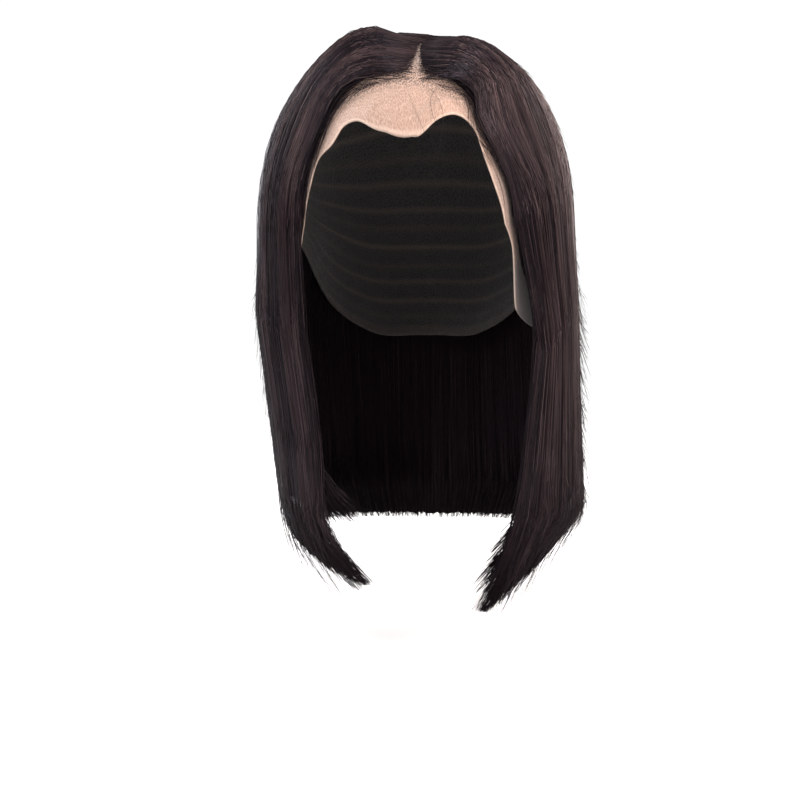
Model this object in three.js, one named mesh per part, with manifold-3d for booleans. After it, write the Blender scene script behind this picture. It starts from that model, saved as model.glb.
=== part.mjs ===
// A lace-front wig of straight dark hair, cut as a shoulder-length bob with a middle parting.
// Millimetres. The origin is the inside of the cap's crown, where the top of the head bears.
// +Z is up, the face opening looks along -Y, and +X is the wearer's left.
import * as THREE from "three";
import { mergeVertices } from "three/addons/utils/BufferGeometryUtils.js";
import Module from "manifold-3d";

const { clamp, lerp, smoothstep, degToRad } = THREE.MathUtils;
const wasm = await Module();
wasm.setup();

// Head form that the cap is stretched over: a rounded egg down to its widest level, upright below it
const HEAD = {
  halfWidth: 74.5,
  halfLength: 95,
  crownHeight: 105, // from the widest level up to the crown
  power: 2.3, // 2 would be an ellipsoid; more is squarer
  frontTaper: 0.19, // how much narrower the forehead is than the back
  napeTaper: 0.2, // share by which the nape draws in
  napeDrop: 65, // how far below the widest level it has done so
};
const WIDEST_Z = -HEAD.crownHeight;
const TURN_DROP = 60; // depth below the widest level of one unit of turn

// Walls and clearances
const LACE_WALL = 1.0;
const CAP_WALL = 1.4;
const SEAM_GAP = 0.5; // between the lace's rear edge and the cap's front edge
const SEAT_GAP = 0.6; // between the hair's base and the cap or lace under it

// Parting and crown
const PART_X = 6.5;
const PART_HALF_GAP = 0.8;
const PART_FRONT_Y = -75;
const PART_BACK_Y = 29.4;
const CROWN_Y = 30; // where the back hair fans out from
const PART_SHARE = 0.6; // share of each side's hair that springs from the parting
const HAIRLINE_RISE = 3; // height of the hair over the lace along the hairline
const RISE_SHARE = 0.3; // share over which the hair rises from there to its full height
const PART_LIFT = 0.34; // share of the full depth that the hair has at its roots along the parting
const CROWN_LIFT = 0.85; // the same at the crown, where the parting closes
const CLOSING_SHARE = 0.36; // share at which the parting starts to close
const SIDE_GAP = 0.0018; // share left free between the side hair and the back hair
const LIFT_TURN = 0.3; // how far down the dome the hair reaches its full depth

// The lace's front edge from ear tab to ear tab. turn: -1 and 1 are the temples at the widest level,
// 0 the middle of the forehead, beyond 1 the side strips; front and rear are Y.
const LACE_EDGE = [
  { turn: -1.9, front: -43, rear: -31 },
  { turn: -1.7, front: -47, rear: -29 },
  { turn: -1.4, front: -50, rear: -32 },
  { turn: -1.15, front: -53, rear: -29.5 },
  { turn: -1.0, front: -57, rear: -28 },
  { turn: -0.85, front: -63.5, rear: -20 },
  { turn: -0.76, front: -66.5, rear: -15 },
  { turn: -0.66, front: -73.5, rear: -9 },
  { turn: -0.5, front: -76.5, rear: 0 },
  { turn: -0.4, front: -80, rear: 5 },
  { turn: -0.3, front: -85, rear: 9 },
  { turn: -0.13, front: -88.3, rear: 13 },
  { turn: 0.1, front: -89.2, rear: 13.5 },
  { turn: 0.25, front: -87, rear: 10.5 },
  { turn: 0.33, front: -82, rear: 8 },
  { turn: 0.43, front: -76, rear: 4 },
  { turn: 0.57, front: -71.8, rear: -4 },
  { turn: 0.73, front: -71.2, rear: -13 },
  { turn: 0.86, front: -68, rear: -20.5 },
  { turn: 1.0, front: -61, rear: -28 },
  { turn: 1.15, front: -55.5, rear: -29.5 },
  { turn: 1.4, front: -51.5, rear: -32 },
  { turn: 1.7, front: -47, rear: -29 },
  { turn: 1.9, front: -43, rear: -31 },
];
const TAB_TURN = { front: -3, rear: 8 }; // how far the left ear tab's edges stand out at its lower end
const TAB_FREE = 1.15; // turn below which an ear tab hangs free of the head

// Lower edge of the cap: over the ear, behind it and round the nape. bearing is from the front.
const CAP_EDGE = [
  { bearing: 76, drop: 121 },
  { bearing: 88, drop: 113 },
  { bearing: 106, drop: 114 },
  { bearing: 128, drop: 150 },
  { bearing: 150, drop: 166 },
  { bearing: 180, drop: 168 },
];

// Level sections through the falling hair, seen from above: the front edge, the widest place and the
// middle of the back, with the thickness of the hair. drop is below the crown.
const FALL_LEFT = [
  { drop: 105, frontX: 60, frontY: -59, sideX: 95, sideY: 6, backY: 114, wall: 18 },
  { drop: 130, frontX: 68, frontY: -45, sideX: 97, sideY: 6, backY: 113, wall: 16 },
  { drop: 160, frontX: 72, frontY: -46, sideX: 98, sideY: 6, backY: 110, wall: 15 },
  { drop: 205, frontX: 67, frontY: -51, sideX: 100, sideY: 4, backY: 105, wall: 14 },
  { drop: 250, frontX: 60, frontY: -57, sideX: 101.5, sideY: 1, backY: 101, wall: 12 },
  { drop: 270, frontX: 55, frontY: -60, sideX: 100, sideY: -4, backY: 99, wall: 10 },
  { drop: 284, frontX: 50, frontY: -63, sideX: 87, sideY: -20, backY: 98, wall: 9 },
  { drop: 300, frontX: 45, frontY: -66, sideX: 74, sideY: -34, backY: 98, wall: 8 },
  { drop: 314, frontX: 39, frontY: -69, sideX: 60, sideY: -48, backY: 98, wall: 6 },
  { drop: 326, frontX: 35, frontY: -71, sideX: 42, sideY: -60, backY: 98, wall: 4 },
];
const FALL_RIGHT = [
  { drop: 105, frontX: 58, frontY: -62, sideX: 95, sideY: 6, backY: 114, wall: 18 },
  { drop: 150, frontX: 58, frontY: -56, sideX: 97, sideY: 6, backY: 111, wall: 15 },
  { drop: 205, frontX: 50, frontY: -56, sideX: 91, sideY: 3, backY: 105, wall: 14 },
  { drop: 250, frontX: 43, frontY: -58, sideX: 85, sideY: -3, backY: 101, wall: 12 },
  { drop: 264, frontX: 41, frontY: -60, sideX: 82, sideY: -8, backY: 99, wall: 11 },
  { drop: 276, frontX: 37, frontY: -62, sideX: 76, sideY: -17, backY: 98, wall: 9 },
  { drop: 288, frontX: 31, frontY: -64, sideX: 66, sideY: -30, backY: 98, wall: 8 },
  { drop: 300, frontX: 23, frontY: -67, sideX: 51, sideY: -44, backY: 98, wall: 6 },
  { drop: 316, frontX: 11, frontY: -71, sideX: 20, sideY: -60, backY: 98, wall: 4 },
];
const SIDE_SHARE = 0.42; // share of each side at which the hair is widest
const FRONT_THIN = 0.2; // share over which the hair thickens behind its front edge
const FRONT_EDGE = 0.22; // share of the full thickness that is left at the front edge
const LEVEL_SHARE = 0.42; // share of a hair's run that lies above the widest level
const HUNG_DROP = 140; // drop below which the hair hangs free with its own thickness

// Where the hair ends, and how high it stands over the crown on each side of the parting
const HEM = [
  { share: 0, left: 315, right: 304 },
  { share: 0.14, left: 316, right: 306 },
  { share: 0.28, left: 302, right: 295 },
  { share: 0.42, left: 279, right: 281 },
  { share: 0.6, left: 281, right: 282 },
  { share: 0.8, left: 286, right: 286 },
  { share: 1, left: 288, right: 288 },
];
const CROWN_RISE = { left: 14, right: 18.5 };
const BACK_RISE = 15.5; // the same behind the crown
const FRONT_BOW = { left: 11, right: 7 }; // how far the front edge bows forward over the temple
const FRONT_DRAW = { left: 20, right: 7 }; // how far it draws in towards the face beside the brow
const BOW_POWER = 1.5; // the higher, the further down the bow and the draw are greatest
const DRAW_POWER = 6;
const BOW_SHARE = 0.35; // share over which both die out

// The base that the locks are fused to: a wall through the lower part of the hair's thickness
const BASE_DEPTH = { inner: -0.06, outer: 0.6 };
const BASE_START = { side: 0.02, back: 0.06 }; // share of the run at which it begins
const BASE_END = 0.965; // share of the run at which it stops and only locks go on

// Locks: each is a lens-shaped strip from root to tip. across and height are shares of its half width
// and of its height over the middle of the lens.
const LOCK_SECTION = [
  { across: -1, height: 0 },
  { across: -0.6, height: 0.75 },
  { across: 0, height: 1 },
  { across: 0.6, height: 0.75 },
  { across: 1, height: 0 },
  { across: 0, height: -0.6 },
];
const LOCK_DEPTH = 0.55; // depth at which the lens lies
const LOCK_STATIONS = 12;
const LOCK_OVERLAP = 1.24; // width of a lock against the spacing of the locks
const LOCK_MIN = { halfWidth: 3.5, height: 1.2 };
const LOCK_TAPER = 0.16; // share of the run over which a lock narrows to its tip
const TIP_SIZE = 0.5; // width and thickness of a lock's tip against the lock's own
const TIP_SCATTER = [0, 4, -3, 2, -4, 3, -2, 4]; // how much longer or shorter each lock hangs
const SIDE_LOCKS = 6;
const BACK_LOCKS = 8;
const JOIN_TOLERANCE = 0.04; // joined surfaces are smoothed of facets smaller than this

// Short under-layer lock that shows inside each front lock
const TUCK = { share: 0.1, depth: 0.2, start: 0.64, halfWidth: 8, tipWidth: 4, halfThick: 3 };
const TUCK_DROP = { left: 290, right: 270 };
const TUCK_INWARD = { left: 7, right: 17 };
const TUCK_STATIONS = 9;

const SIDES = {
  left: { sign: 1, fall: FALL_LEFT },
  right: { sign: -1, fall: FALL_RIGHT },
};

// A smooth curve through one column of a table.
function column(rows, along, name) {
  const at = rows.map((row) => row[along]);
  const values = rows.map((row) => row[name]);
  const curve = new THREE.CubicInterpolant(at, values, 1, new Float64Array(1));
  return (t) => curve.evaluate(clamp(t, at[0], at[at.length - 1]))[0];
}

const laceFront = column(LACE_EDGE, "turn", "front");
const laceRear = column(LACE_EDGE, "turn", "rear");
const capDrop = column(CAP_EDGE, "bearing", "drop");
for (const [name, side] of Object.entries(SIDES)) {
  side.hem = column(HEM, "share", name);
  side.crownRise = CROWN_RISE[name];
  side.frontBow = FRONT_BOW[name];
  side.frontDraw = FRONT_DRAW[name];
  side.tuckDrop = TUCK_DROP[name];
  side.tuckInward = TUCK_INWARD[name];
  side.section = {};
  for (const key of Object.keys(side.fall[0]))
    side.section[key] = column(side.fall, "drop", key);
}

// Head form

const signedPower = (value, power) => Math.sign(value) * Math.abs(value) ** power;
const frontNarrowing = (y) => 1 - (HEAD.frontTaper * Math.max(0, -y)) / HEAD.halfLength;

// A point of the form, grown by offset, at an ear-to-ear turn and a depth y.
function headAtTurn(turn, y, offset) {
  const length = HEAD.halfLength + offset;
  const girth = Math.max(0, 1 - Math.abs(y / length) ** HEAD.power) ** (1 / HEAD.power);
  const angle = clamp(turn, -1, 1) * (Math.PI / 2);
  const halfWidth = HEAD.halfWidth * frontNarrowing(y) + offset;
  const x = halfWidth * girth * signedPower(Math.sin(angle), 2 / HEAD.power);
  const rise = (HEAD.crownHeight + offset) * girth * Math.abs(Math.cos(angle)) ** (2 / HEAD.power);
  const drop = Math.max(0, Math.abs(turn) - 1) * TURN_DROP;
  return new THREE.Vector3(x, y, WIDEST_Z + rise - drop);
}

// How far out p lies: 1 on the form grown by offset, less inside it.
function headLevel(p, offset) {
  const above = Math.max(0, p.z - WIDEST_Z);
  const sum =
    Math.abs(p.x / (HEAD.halfWidth * frontNarrowing(p.y) + offset)) ** HEAD.power +
    Math.abs(p.y / (HEAD.halfLength + offset)) ** HEAD.power +
    (above / (HEAD.crownHeight + offset)) ** HEAD.power;
  return sum ** (1 / HEAD.power);
}

// p moved to the form grown by offset, straight towards the middle of the widest level.
function onHead(p, offset) {
  const centre = new THREE.Vector3(0, 0, WIDEST_Z);
  const moved = p.clone().sub(centre);
  for (let pass = 0; pass < 3; pass += 1)
    moved.divideScalar(headLevel(moved.clone().add(centre), offset));
  return moved.add(centre);
}

// Hair: share runs from the front edge (0) to the middle of the back (1), along from root (0) to
// tip (1), and depth from the cap (0) to the outside (1).

function hairRoot(side, share) {
  const part = clamp(share / PART_SHARE, 0, 1);
  const y = share < PART_SHARE ? lerp(PART_FRONT_Y, PART_BACK_Y, part ** 0.9) : CROWN_Y;
  const gap = share < PART_SHARE ? PART_HALF_GAP : 0;
  const full = lerp(side.crownRise, BACK_RISE, smoothstep(share, RISE_SHARE, PART_SHARE));
  const rise = lerp(HAIRLINE_RISE, full, smoothstep(share, 0, RISE_SHARE));
  return headAtTurn(0, y, CAP_WALL + rise).setX(PART_X + side.sign * gap);
}

// Outline of the falling hair at a drop: two quarter ellipses, front edge to side and side to back.
function fallOutline(side, share, drop) {
  const at = (name) => side.section[name](drop);
  const p = new THREE.Vector3(0, 0, -drop);
  if (share < SIDE_SHARE) {
    const angle = (share / SIDE_SHARE) * (Math.PI / 2);
    p.x = lerp(at("frontX"), at("sideX"), Math.sin(angle));
    p.y = lerp(at("sideY"), at("frontY"), Math.cos(angle));
  } else {
    const angle = ((share - SIDE_SHARE) / (1 - SIDE_SHARE)) * (Math.PI / 2);
    p.x = at("sideX") * signedPower(Math.cos(angle), 0.9);
    p.y = lerp(at("sideY"), at("backY"), Math.sin(angle));
  }
  p.x *= side.sign;
  return p;
}

const frontThickness = (share) => lerp(FRONT_EDGE, 1, smoothstep(share, 0, FRONT_THIN));

function domePoint(side, share, turn, depth) {
  const root = hairRoot(side, share);
  const foot = fallOutline(side, share, -WIDEST_Z);
  const angle = turn * (Math.PI / 2);
  const out = Math.sin(angle) ** (2 / HEAD.power);
  const up = Math.abs(Math.cos(angle)) ** (2 / HEAD.power);
  const outer = root.clone().lerp(foot, out).setZ(lerp(WIDEST_Z, root.z, up));
  const bowed = 1 - smoothstep(share, 0, BOW_SHARE);
  outer.y -= side.frontBow * bowed * Math.sin(Math.PI * out ** BOW_POWER);
  outer.x -= side.sign * side.frontDraw * bowed * Math.sin(Math.PI * out ** DRAW_POWER);
  const seat = CAP_WALL + SEAT_GAP;
  if (headLevel(outer, seat + HAIRLINE_RISE) < 1) outer.copy(onHead(outer, seat + HAIRLINE_RISE));
  const inner = onHead(outer, seat);
  const rooted = lerp(PART_LIFT, CROWN_LIFT, smoothstep(share, CLOSING_SHARE, PART_SHARE));
  const lift = lerp(rooted, 1, smoothstep(turn, 0, LIFT_TURN));
  return inner.lerp(outer, depth * lift);
}

function fallPoint(side, share, run, depth) {
  const drop = lerp(-WIDEST_Z, side.hem(share), run);
  const step = 0.01;
  const outer = fallOutline(side, share, drop);
  const ahead = fallOutline(side, Math.min(share + step, 1), drop);
  const behind = fallOutline(side, Math.max(share - step, 0), drop);
  const inward = new THREE.Vector3(behind.y - ahead.y, ahead.x - behind.x, 0);
  inward.normalize().multiplyScalar(side.sign);
  const hung = side.section.wall(drop) * frontThickness(share);
  const worn = onHead(outer, CAP_WALL + SEAT_GAP).distanceTo(outer);
  const wall = drop > -WIDEST_Z ? lerp(worn, hung, smoothstep(drop, -WIDEST_Z, HUNG_DROP)) : worn;
  return outer.addScaledVector(inward, wall * (1 - depth));
}

function hairPoint(side, share, along, depth) {
  if (along < LEVEL_SHARE) return domePoint(side, share, along / LEVEL_SHARE, depth);
  return fallPoint(side, share, (along - LEVEL_SHARE) / (1 - LEVEL_SHARE), depth);
}

// Lengthwise, sideways and outward directions of the hair at a place.
function hairFrame(side, share, along, depth) {
  const step = 0.012;
  const ahead = hairPoint(side, share, Math.min(along + step, 1.1), depth);
  const behind = hairPoint(side, share, Math.max(along - step, 0), depth);
  const backward = hairPoint(side, Math.min(share + step, 1), Math.max(along, 0.03), depth);
  const forward = hairPoint(side, Math.max(share - step, 0), Math.max(along, 0.03), depth);
  const length = ahead.sub(behind).normalize();
  const across = backward.sub(forward);
  const spacing = across.length() / (Math.min(share + step, 1) - Math.max(share - step, 0));
  const outward = across.clone().cross(length).multiplyScalar(side.sign).normalize();
  const sideways = length.clone().cross(outward).multiplyScalar(side.sign).normalize();
  return { sideways, outward, spacing };
}

// Closed bodies

function geometryOf(points, triangles) {
  const geometry = new THREE.BufferGeometry().setFromPoints(points);
  geometry.setIndex(triangles.flat());
  return geometry;
}

// A wall with a near and a far face over a grid: at(column, row, face), face 0 near the head, 1 outside.
function wallGeometry(columns, rows, at) {
  const points = [];
  const triangles = [];
  const index = (c, r, face) => (face * (columns + 1) + c) * (rows + 1) + r;
  for (const face of [0, 1])
    for (let c = 0; c <= columns; c += 1)
      for (let r = 0; r <= rows; r += 1) points.push(at(c / columns, r / rows, face));
  const quad = (a, b, c, d) => triangles.push([a, b, c], [a, c, d]);
  for (let c = 0; c < columns; c += 1)
    for (let r = 0; r < rows; r += 1) {
      quad(index(c, r, 1), index(c, r + 1, 1), index(c + 1, r + 1, 1), index(c + 1, r, 1));
      quad(index(c, r, 0), index(c + 1, r, 0), index(c + 1, r + 1, 0), index(c, r + 1, 0));
    }
  for (let c = 0; c < columns; c += 1) {
    quad(index(c, 0, 0), index(c, 0, 1), index(c + 1, 0, 1), index(c + 1, 0, 0));
    quad(index(c, rows, 1), index(c, rows, 0), index(c + 1, rows, 0), index(c + 1, rows, 1));
  }
  for (let r = 0; r < rows; r += 1) {
    quad(index(0, r, 0), index(0, r + 1, 0), index(0, r + 1, 1), index(0, r, 1));
    quad(index(columns, r, 1), index(columns, r + 1, 1), index(columns, r + 1, 0), index(columns, r, 0));
  }
  return geometryOf(points, triangles);
}

// A body lofted through rings of equal count, closed by a fan at each end.
function loftGeometry(rings) {
  const sides = rings[0].length;
  const points = rings.flat();
  const triangles = [];
  for (let k = 0; k + 1 < rings.length; k += 1)
    for (let i = 0; i < sides; i += 1) {
      const [a, b] = [k * sides + i, k * sides + ((i + 1) % sides)];
      triangles.push([a, b, b + sides], [a, b + sides, a + sides]);
    }
  const last = (rings.length - 1) * sides;
  for (let i = 1; i + 1 < sides; i += 1)
    triangles.push([0, i + 1, i], [last, last + i, last + i + 1]);
  return geometryOf(points, triangles);
}

// A closed geometry as a solid with its faces turned outwards.
function solidOf(geometry) {
  const merged = mergeVertices(geometry, 1e-4);
  const vertProperties = merged.attributes.position.array;
  const triVerts = new Uint32Array(merged.index.array);
  const made = new wasm.Manifold(new wasm.Mesh({ numProp: 3, vertProperties, triVerts }));
  if (made.volume() > 0) return made;
  for (let i = 0; i < triVerts.length; i += 3)
    [triVerts[i + 1], triVerts[i + 2]] = [triVerts[i + 2], triVerts[i + 1]];
  return new wasm.Manifold(new wasm.Mesh({ numProp: 3, vertProperties, triVerts }));
}

function meshOf(name, solid, material) {
  const { vertProperties, triVerts } = solid.getMesh();
  const geometry = new THREE.BufferGeometry();
  geometry.setAttribute("position", new THREE.BufferAttribute(vertProperties, 3));
  geometry.setIndex(new THREE.BufferAttribute(triVerts, 1));
  geometry.computeVertexNormals();
  const mesh = new THREE.Mesh(geometry, material);
  mesh.name = name;
  return mesh;
}

// Lace front: one sheet from ear tab to ear tab, from its scalloped edge back to the seam

const LACE_COLUMNS = 46;
const LACE_ROWS = 5;

const LACE_ENDS = LACE_EDGE[LACE_EDGE.length - 1].turn;

function laceAt(turn, y, offset) {
  const p = headAtTurn(turn, y, offset);
  const across = (y - laceFront(turn)) / (laceRear(turn) - laceFront(turn));
  p.x += lerp(TAB_TURN.front, TAB_TURN.rear, across) * smoothstep(turn, TAB_FREE, LACE_ENDS);
  return p;
}

function laceSolid() {
  const at = (c, r, face) => {
    const turn = lerp(-LACE_ENDS, LACE_ENDS, c);
    const y = lerp(laceFront(turn), laceRear(turn) - SEAM_GAP, r);
    return laceAt(turn, y, face * LACE_WALL);
  };
  return solidOf(wallGeometry(LACE_COLUMNS, LACE_ROWS, at));
}

// The space in and in front of the ear tab that stands out, which the hair hangs behind.
function tabSpace() {
  const at = (c, r, face) => {
    const turn = lerp(TAB_FREE, LACE_ENDS + 0.06, c);
    const y = lerp(laceFront(turn) - 14, laceRear(turn) + SEAT_GAP, r);
    return laceAt(turn, y, face ? LACE_WALL + SEAT_GAP : -8);
  };
  return solidOf(wallGeometry(8, 3, at));
}

// Cap: stretched over the back of the head, from the seam to the nape, cut away over the ears

const CAP_COLUMNS = 30;
const CAP_ROWS = 8;

function capSolid() {
  const at = (c, r, face) => {
    const offset = face * CAP_WALL;
    const turn = lerp(-1, 1, c);
    const seam = headAtTurn(turn, laceRear(turn), offset);
    const bearing = lerp(180, CAP_EDGE[0].bearing, Math.abs(turn));
    const angle = degToRad(bearing);
    const plan = new THREE.Vector3(
      (HEAD.halfWidth + offset) * signedPower(Math.sin(angle), 2 / HEAD.power) * Math.sign(turn || 1),
      -(HEAD.halfLength + offset) * signedPower(Math.cos(angle), 2 / HEAD.power),
      WIDEST_Z,
    );
    plan.x *= frontNarrowing(plan.y);
    const drop = capDrop(bearing) + WIDEST_Z;
    const foot = r * (1 + drop / HEAD.crownHeight);
    if (foot <= 1) return onHead(seam.clone().lerp(plan, foot), offset);
    const below = (foot - 1) * HEAD.crownHeight;
    const drawn = 1 - HEAD.napeTaper * smoothstep(bearing, 90, 150) * (below / HEAD.napeDrop) ** 2;
    return plan.multiplyScalar(drawn).setZ(WIDEST_Z - below);
  };
  return solidOf(wallGeometry(CAP_COLUMNS, CAP_ROWS, at));
}

// The space that the lace and the cap take up, which the hair stays clear of

function wornSpace() {
  const [columns, rows] = [32, 10];
  const offset = CAP_WALL + SEAT_GAP;
  const rings = [];
  for (let r = 0; r <= rows; r += 1) {
    const angle = lerp(0.04, 1, r / rows) * (Math.PI / 2);
    const ring = [];
    for (let c = 0; c < columns; c += 1) {
      const bearing = (c / columns) * 2 * Math.PI;
      const reach = Math.sin(angle) ** (2 / HEAD.power);
      const y = -(HEAD.halfLength + offset) * reach * signedPower(Math.cos(bearing), 2 / HEAD.power);
      const halfWidth = HEAD.halfWidth * frontNarrowing(y) + offset;
      const x = halfWidth * reach * signedPower(Math.sin(bearing), 2 / HEAD.power);
      const rise = (HEAD.crownHeight + offset) * Math.cos(angle) ** (2 / HEAD.power);
      ring.push(new THREE.Vector3(x, y, WIDEST_Z + rise));
    }
    rings.push(ring);
  }
  const foot = rings[rows].map((p) => p.clone().setZ(WIDEST_Z - 18));
  return solidOf(loftGeometry([...rings, foot])).add(tabSpace());
}

// Hair

// Stations along a hair, as many over the dome as in the fall below it.
function stationAlong(t, end) {
  return t < 0.5 ? 2 * t * LEVEL_SHARE : lerp(LEVEL_SHARE, end, 2 * t - 1);
}

// One ring of a lock: its section laid across the hair at a place.
function lockRing(centre, frame, halfWidth, height) {
  return LOCK_SECTION.map((row) =>
    centre
      .clone()
      .addScaledVector(frame.sideways, row.across * halfWidth)
      .addScaledVector(frame.outward, row.height * height),
  );
}

function lockSolid(side, share, spacing, tipDrop) {
  const length = side.hem(share) + WIDEST_Z;
  const end = 1 + (tipDrop / length) * (1 - LEVEL_SHARE);
  const rings = [];
  for (let k = 0; k <= LOCK_STATIONS; k += 1) {
    const along = stationAlong(k / LOCK_STATIONS, end);
    const centre = hairPoint(side, share, along, LOCK_DEPTH);
    const skin = hairPoint(side, share, along, 1);
    const frame = hairFrame(side, share, along, LOCK_DEPTH);
    const size = lerp(1, TIP_SIZE, smoothstep(along / end, 1 - LOCK_TAPER, 1));
    const halfWidth = Math.max(LOCK_MIN.halfWidth, 0.5 * spacing * frame.spacing * LOCK_OVERLAP);
    const height = Math.max(LOCK_MIN.height, centre.distanceTo(skin));
    rings.push(lockRing(centre, frame, halfWidth * size, height * size));
  }
  return solidOf(loftGeometry(rings));
}

// The short lock inside the front one, with its end swept in towards the neck.
function tuckSolid(side) {
  const length = side.hem(TUCK.share) + WIDEST_Z;
  const end = LEVEL_SHARE + ((side.tuckDrop + WIDEST_Z) / length) * (1 - LEVEL_SHARE);
  const rings = [];
  for (let k = 0; k <= TUCK_STATIONS; k += 1) {
    const t = k / TUCK_STATIONS;
    const along = lerp(TUCK.start, end, t);
    const centre = hairPoint(side, TUCK.share, along, TUCK.depth);
    const frame = hairFrame(side, TUCK.share, along, TUCK.depth);
    centre.x -= side.sign * side.tuckInward * t ** 4;
    const taper = smoothstep(t, 0.6, 1);
    const halfWidth = lerp(TUCK.halfWidth, TUCK.tipWidth, taper);
    rings.push(lockRing(centre, frame, halfWidth, TUCK.halfThick * lerp(1, TIP_SIZE, taper)));
  }
  return solidOf(loftGeometry(rings));
}

// The largest body of a solid, without crumbs and with any space closed in it filled.
function mainBody(solid) {
  return solid.decompose().reduce((most, body) => (body.volume() > most.volume() ? body : most));
}

function union(solids) {
  const joined = solids.reduce((made, solid) => made.add(solid));
  return mainBody(joined.simplify(JOIN_TOLERANCE));
}

// Middles of a row of overlapping locks over a width of 1, with the outermost edges kept inside it.
function lockMiddles(count) {
  const edge = (0.5 * LOCK_OVERLAP) / count;
  return Array.from({ length: count }, (_, i) => lerp(edge, 1 - edge, i / (count - 1)));
}

// The whole depth of the hair over a range of shares, for keeping neighbouring hair apart.
function hairSpace(side, from, to) {
  const [past, under, over] = [1.06, -0.5, 1.6];
  const at = (c, r, face) => hairPoint(side, lerp(from, to, c), stationAlong(r, past), face ? over : under);
  return solidOf(wallGeometry(3, 12, at));
}

function sideHair(side, worn) {
  const [first, last] = [0.004, PART_SHARE - SIDE_GAP];
  const base = wallGeometry(9, 12, (c, r, face) => {
    const along = Math.max(BASE_START.side, stationAlong(r, BASE_END));
    return hairPoint(side, lerp(first, last, c), along, face ? BASE_DEPTH.outer : BASE_DEPTH.inner);
  });
  const spacing = (last - first) / SIDE_LOCKS;
  const locks = lockMiddles(SIDE_LOCKS).map((middle, i) =>
    lockSolid(side, lerp(first, last, middle), spacing, TIP_SCATTER[i]),
  );
  const grown = union([solidOf(base), ...locks, tuckSolid(side)]).subtract(worn);
  const apart = grown.subtract(hairSpace(side, last, 0.8));
  return mainBody(apart.trimByPlane([side.sign, 0, 0], side.sign * PART_X + PART_HALF_GAP));
}

// Back hair goes from the right side's last share round the middle of the back to the left side's.
function backHair(worn) {
  const first = PART_SHARE + SIDE_GAP;
  const place = (round) => {
    const side = round < 0.5 ? SIDES.right : SIDES.left;
    return [side, lerp(1, first, Math.abs(2 * round - 1))];
  };
  const base = wallGeometry(12, 12, (c, r, face) => {
    const [side, share] = place(c);
    const along = Math.max(BASE_START.back, stationAlong(r, BASE_END));
    return hairPoint(side, share, along, face ? BASE_DEPTH.outer : BASE_DEPTH.inner);
  });
  const spacing = (2 * (1 - first)) / BACK_LOCKS;
  const locks = lockMiddles(BACK_LOCKS).map((middle, i) => {
    const [side, share] = place(middle);
    return lockSolid(side, share, spacing, TIP_SCATTER[i]);
  });
  const grown = union([solidOf(base), ...locks]).subtract(worn);
  const spaces = Object.values(SIDES).map((side) => hairSpace(side, 0.4, first));
  return mainBody(spaces.reduce((made, space) => made.subtract(space), grown));
}

// Assembly

const hairMaterial = new THREE.MeshStandardMaterial({ color: 0x2a1f1e, roughness: 0.45, metalness: 0 });
const laceMaterial = new THREE.MeshStandardMaterial({ color: 0xe3bd9c, roughness: 0.85, metalness: 0 });
const capMaterial = new THREE.MeshStandardMaterial({ color: 0x1d1817, roughness: 0.9, metalness: 0 });

const worn = wornSpace();
const wig = new THREE.Group();
wig.add(meshOf("lace_front", laceSolid(), laceMaterial));
wig.add(meshOf("cap", capSolid(), capMaterial));
wig.add(meshOf("hair_left", sideHair(SIDES.left, worn), hairMaterial));
wig.add(meshOf("hair_right", sideHair(SIDES.right, worn), hairMaterial));
wig.add(meshOf("hair_back", backHair(worn), hairMaterial));

export default wig;
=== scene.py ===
"""Looks of a lace-front wig of straight dark hair: strands, lace, cap, light and camera.

Lengths in this script are millimetres until a mesh is made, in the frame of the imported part:
the origin is the inside of the cap's crown, +Z is up and the face opening looks along -Y.
"""

import math

import bpy
import numpy as np
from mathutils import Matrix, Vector


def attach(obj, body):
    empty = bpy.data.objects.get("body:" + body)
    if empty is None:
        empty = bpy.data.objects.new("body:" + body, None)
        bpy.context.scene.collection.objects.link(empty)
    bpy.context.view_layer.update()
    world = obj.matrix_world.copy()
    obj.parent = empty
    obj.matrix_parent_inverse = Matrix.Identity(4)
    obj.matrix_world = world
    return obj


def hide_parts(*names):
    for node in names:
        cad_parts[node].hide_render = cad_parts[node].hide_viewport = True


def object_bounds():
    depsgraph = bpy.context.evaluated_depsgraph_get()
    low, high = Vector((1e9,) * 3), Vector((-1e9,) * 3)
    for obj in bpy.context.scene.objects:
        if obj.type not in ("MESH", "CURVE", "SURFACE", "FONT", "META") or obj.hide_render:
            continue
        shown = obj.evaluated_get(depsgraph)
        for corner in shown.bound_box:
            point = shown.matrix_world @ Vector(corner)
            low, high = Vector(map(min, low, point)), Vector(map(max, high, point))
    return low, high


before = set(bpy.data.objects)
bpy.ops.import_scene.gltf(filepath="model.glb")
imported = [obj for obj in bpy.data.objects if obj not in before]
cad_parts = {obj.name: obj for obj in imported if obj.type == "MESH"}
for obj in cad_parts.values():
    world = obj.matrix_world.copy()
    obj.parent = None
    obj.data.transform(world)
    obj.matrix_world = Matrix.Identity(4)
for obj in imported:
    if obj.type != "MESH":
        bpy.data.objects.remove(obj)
cad_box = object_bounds()
random = np.random.default_rng(17)
MM = 0.001
TINY = 1e-9

# Head form, as the cap is stretched over it
HALF_WIDTH, HALF_LENGTH, CROWN_HEIGHT, POWER = 74.5, 95.0, 105.0, 2.3
FRONT_TAPER, NAPE_TAPER, NAPE_DROP = 0.19, 0.2, 65.0
WIDEST_Z = -CROWN_HEIGHT
TURN_DROP = 60.0
CAP_WALL, SEAT_GAP, SEAM_GAP = 1.4, 0.6, 0.5

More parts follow.
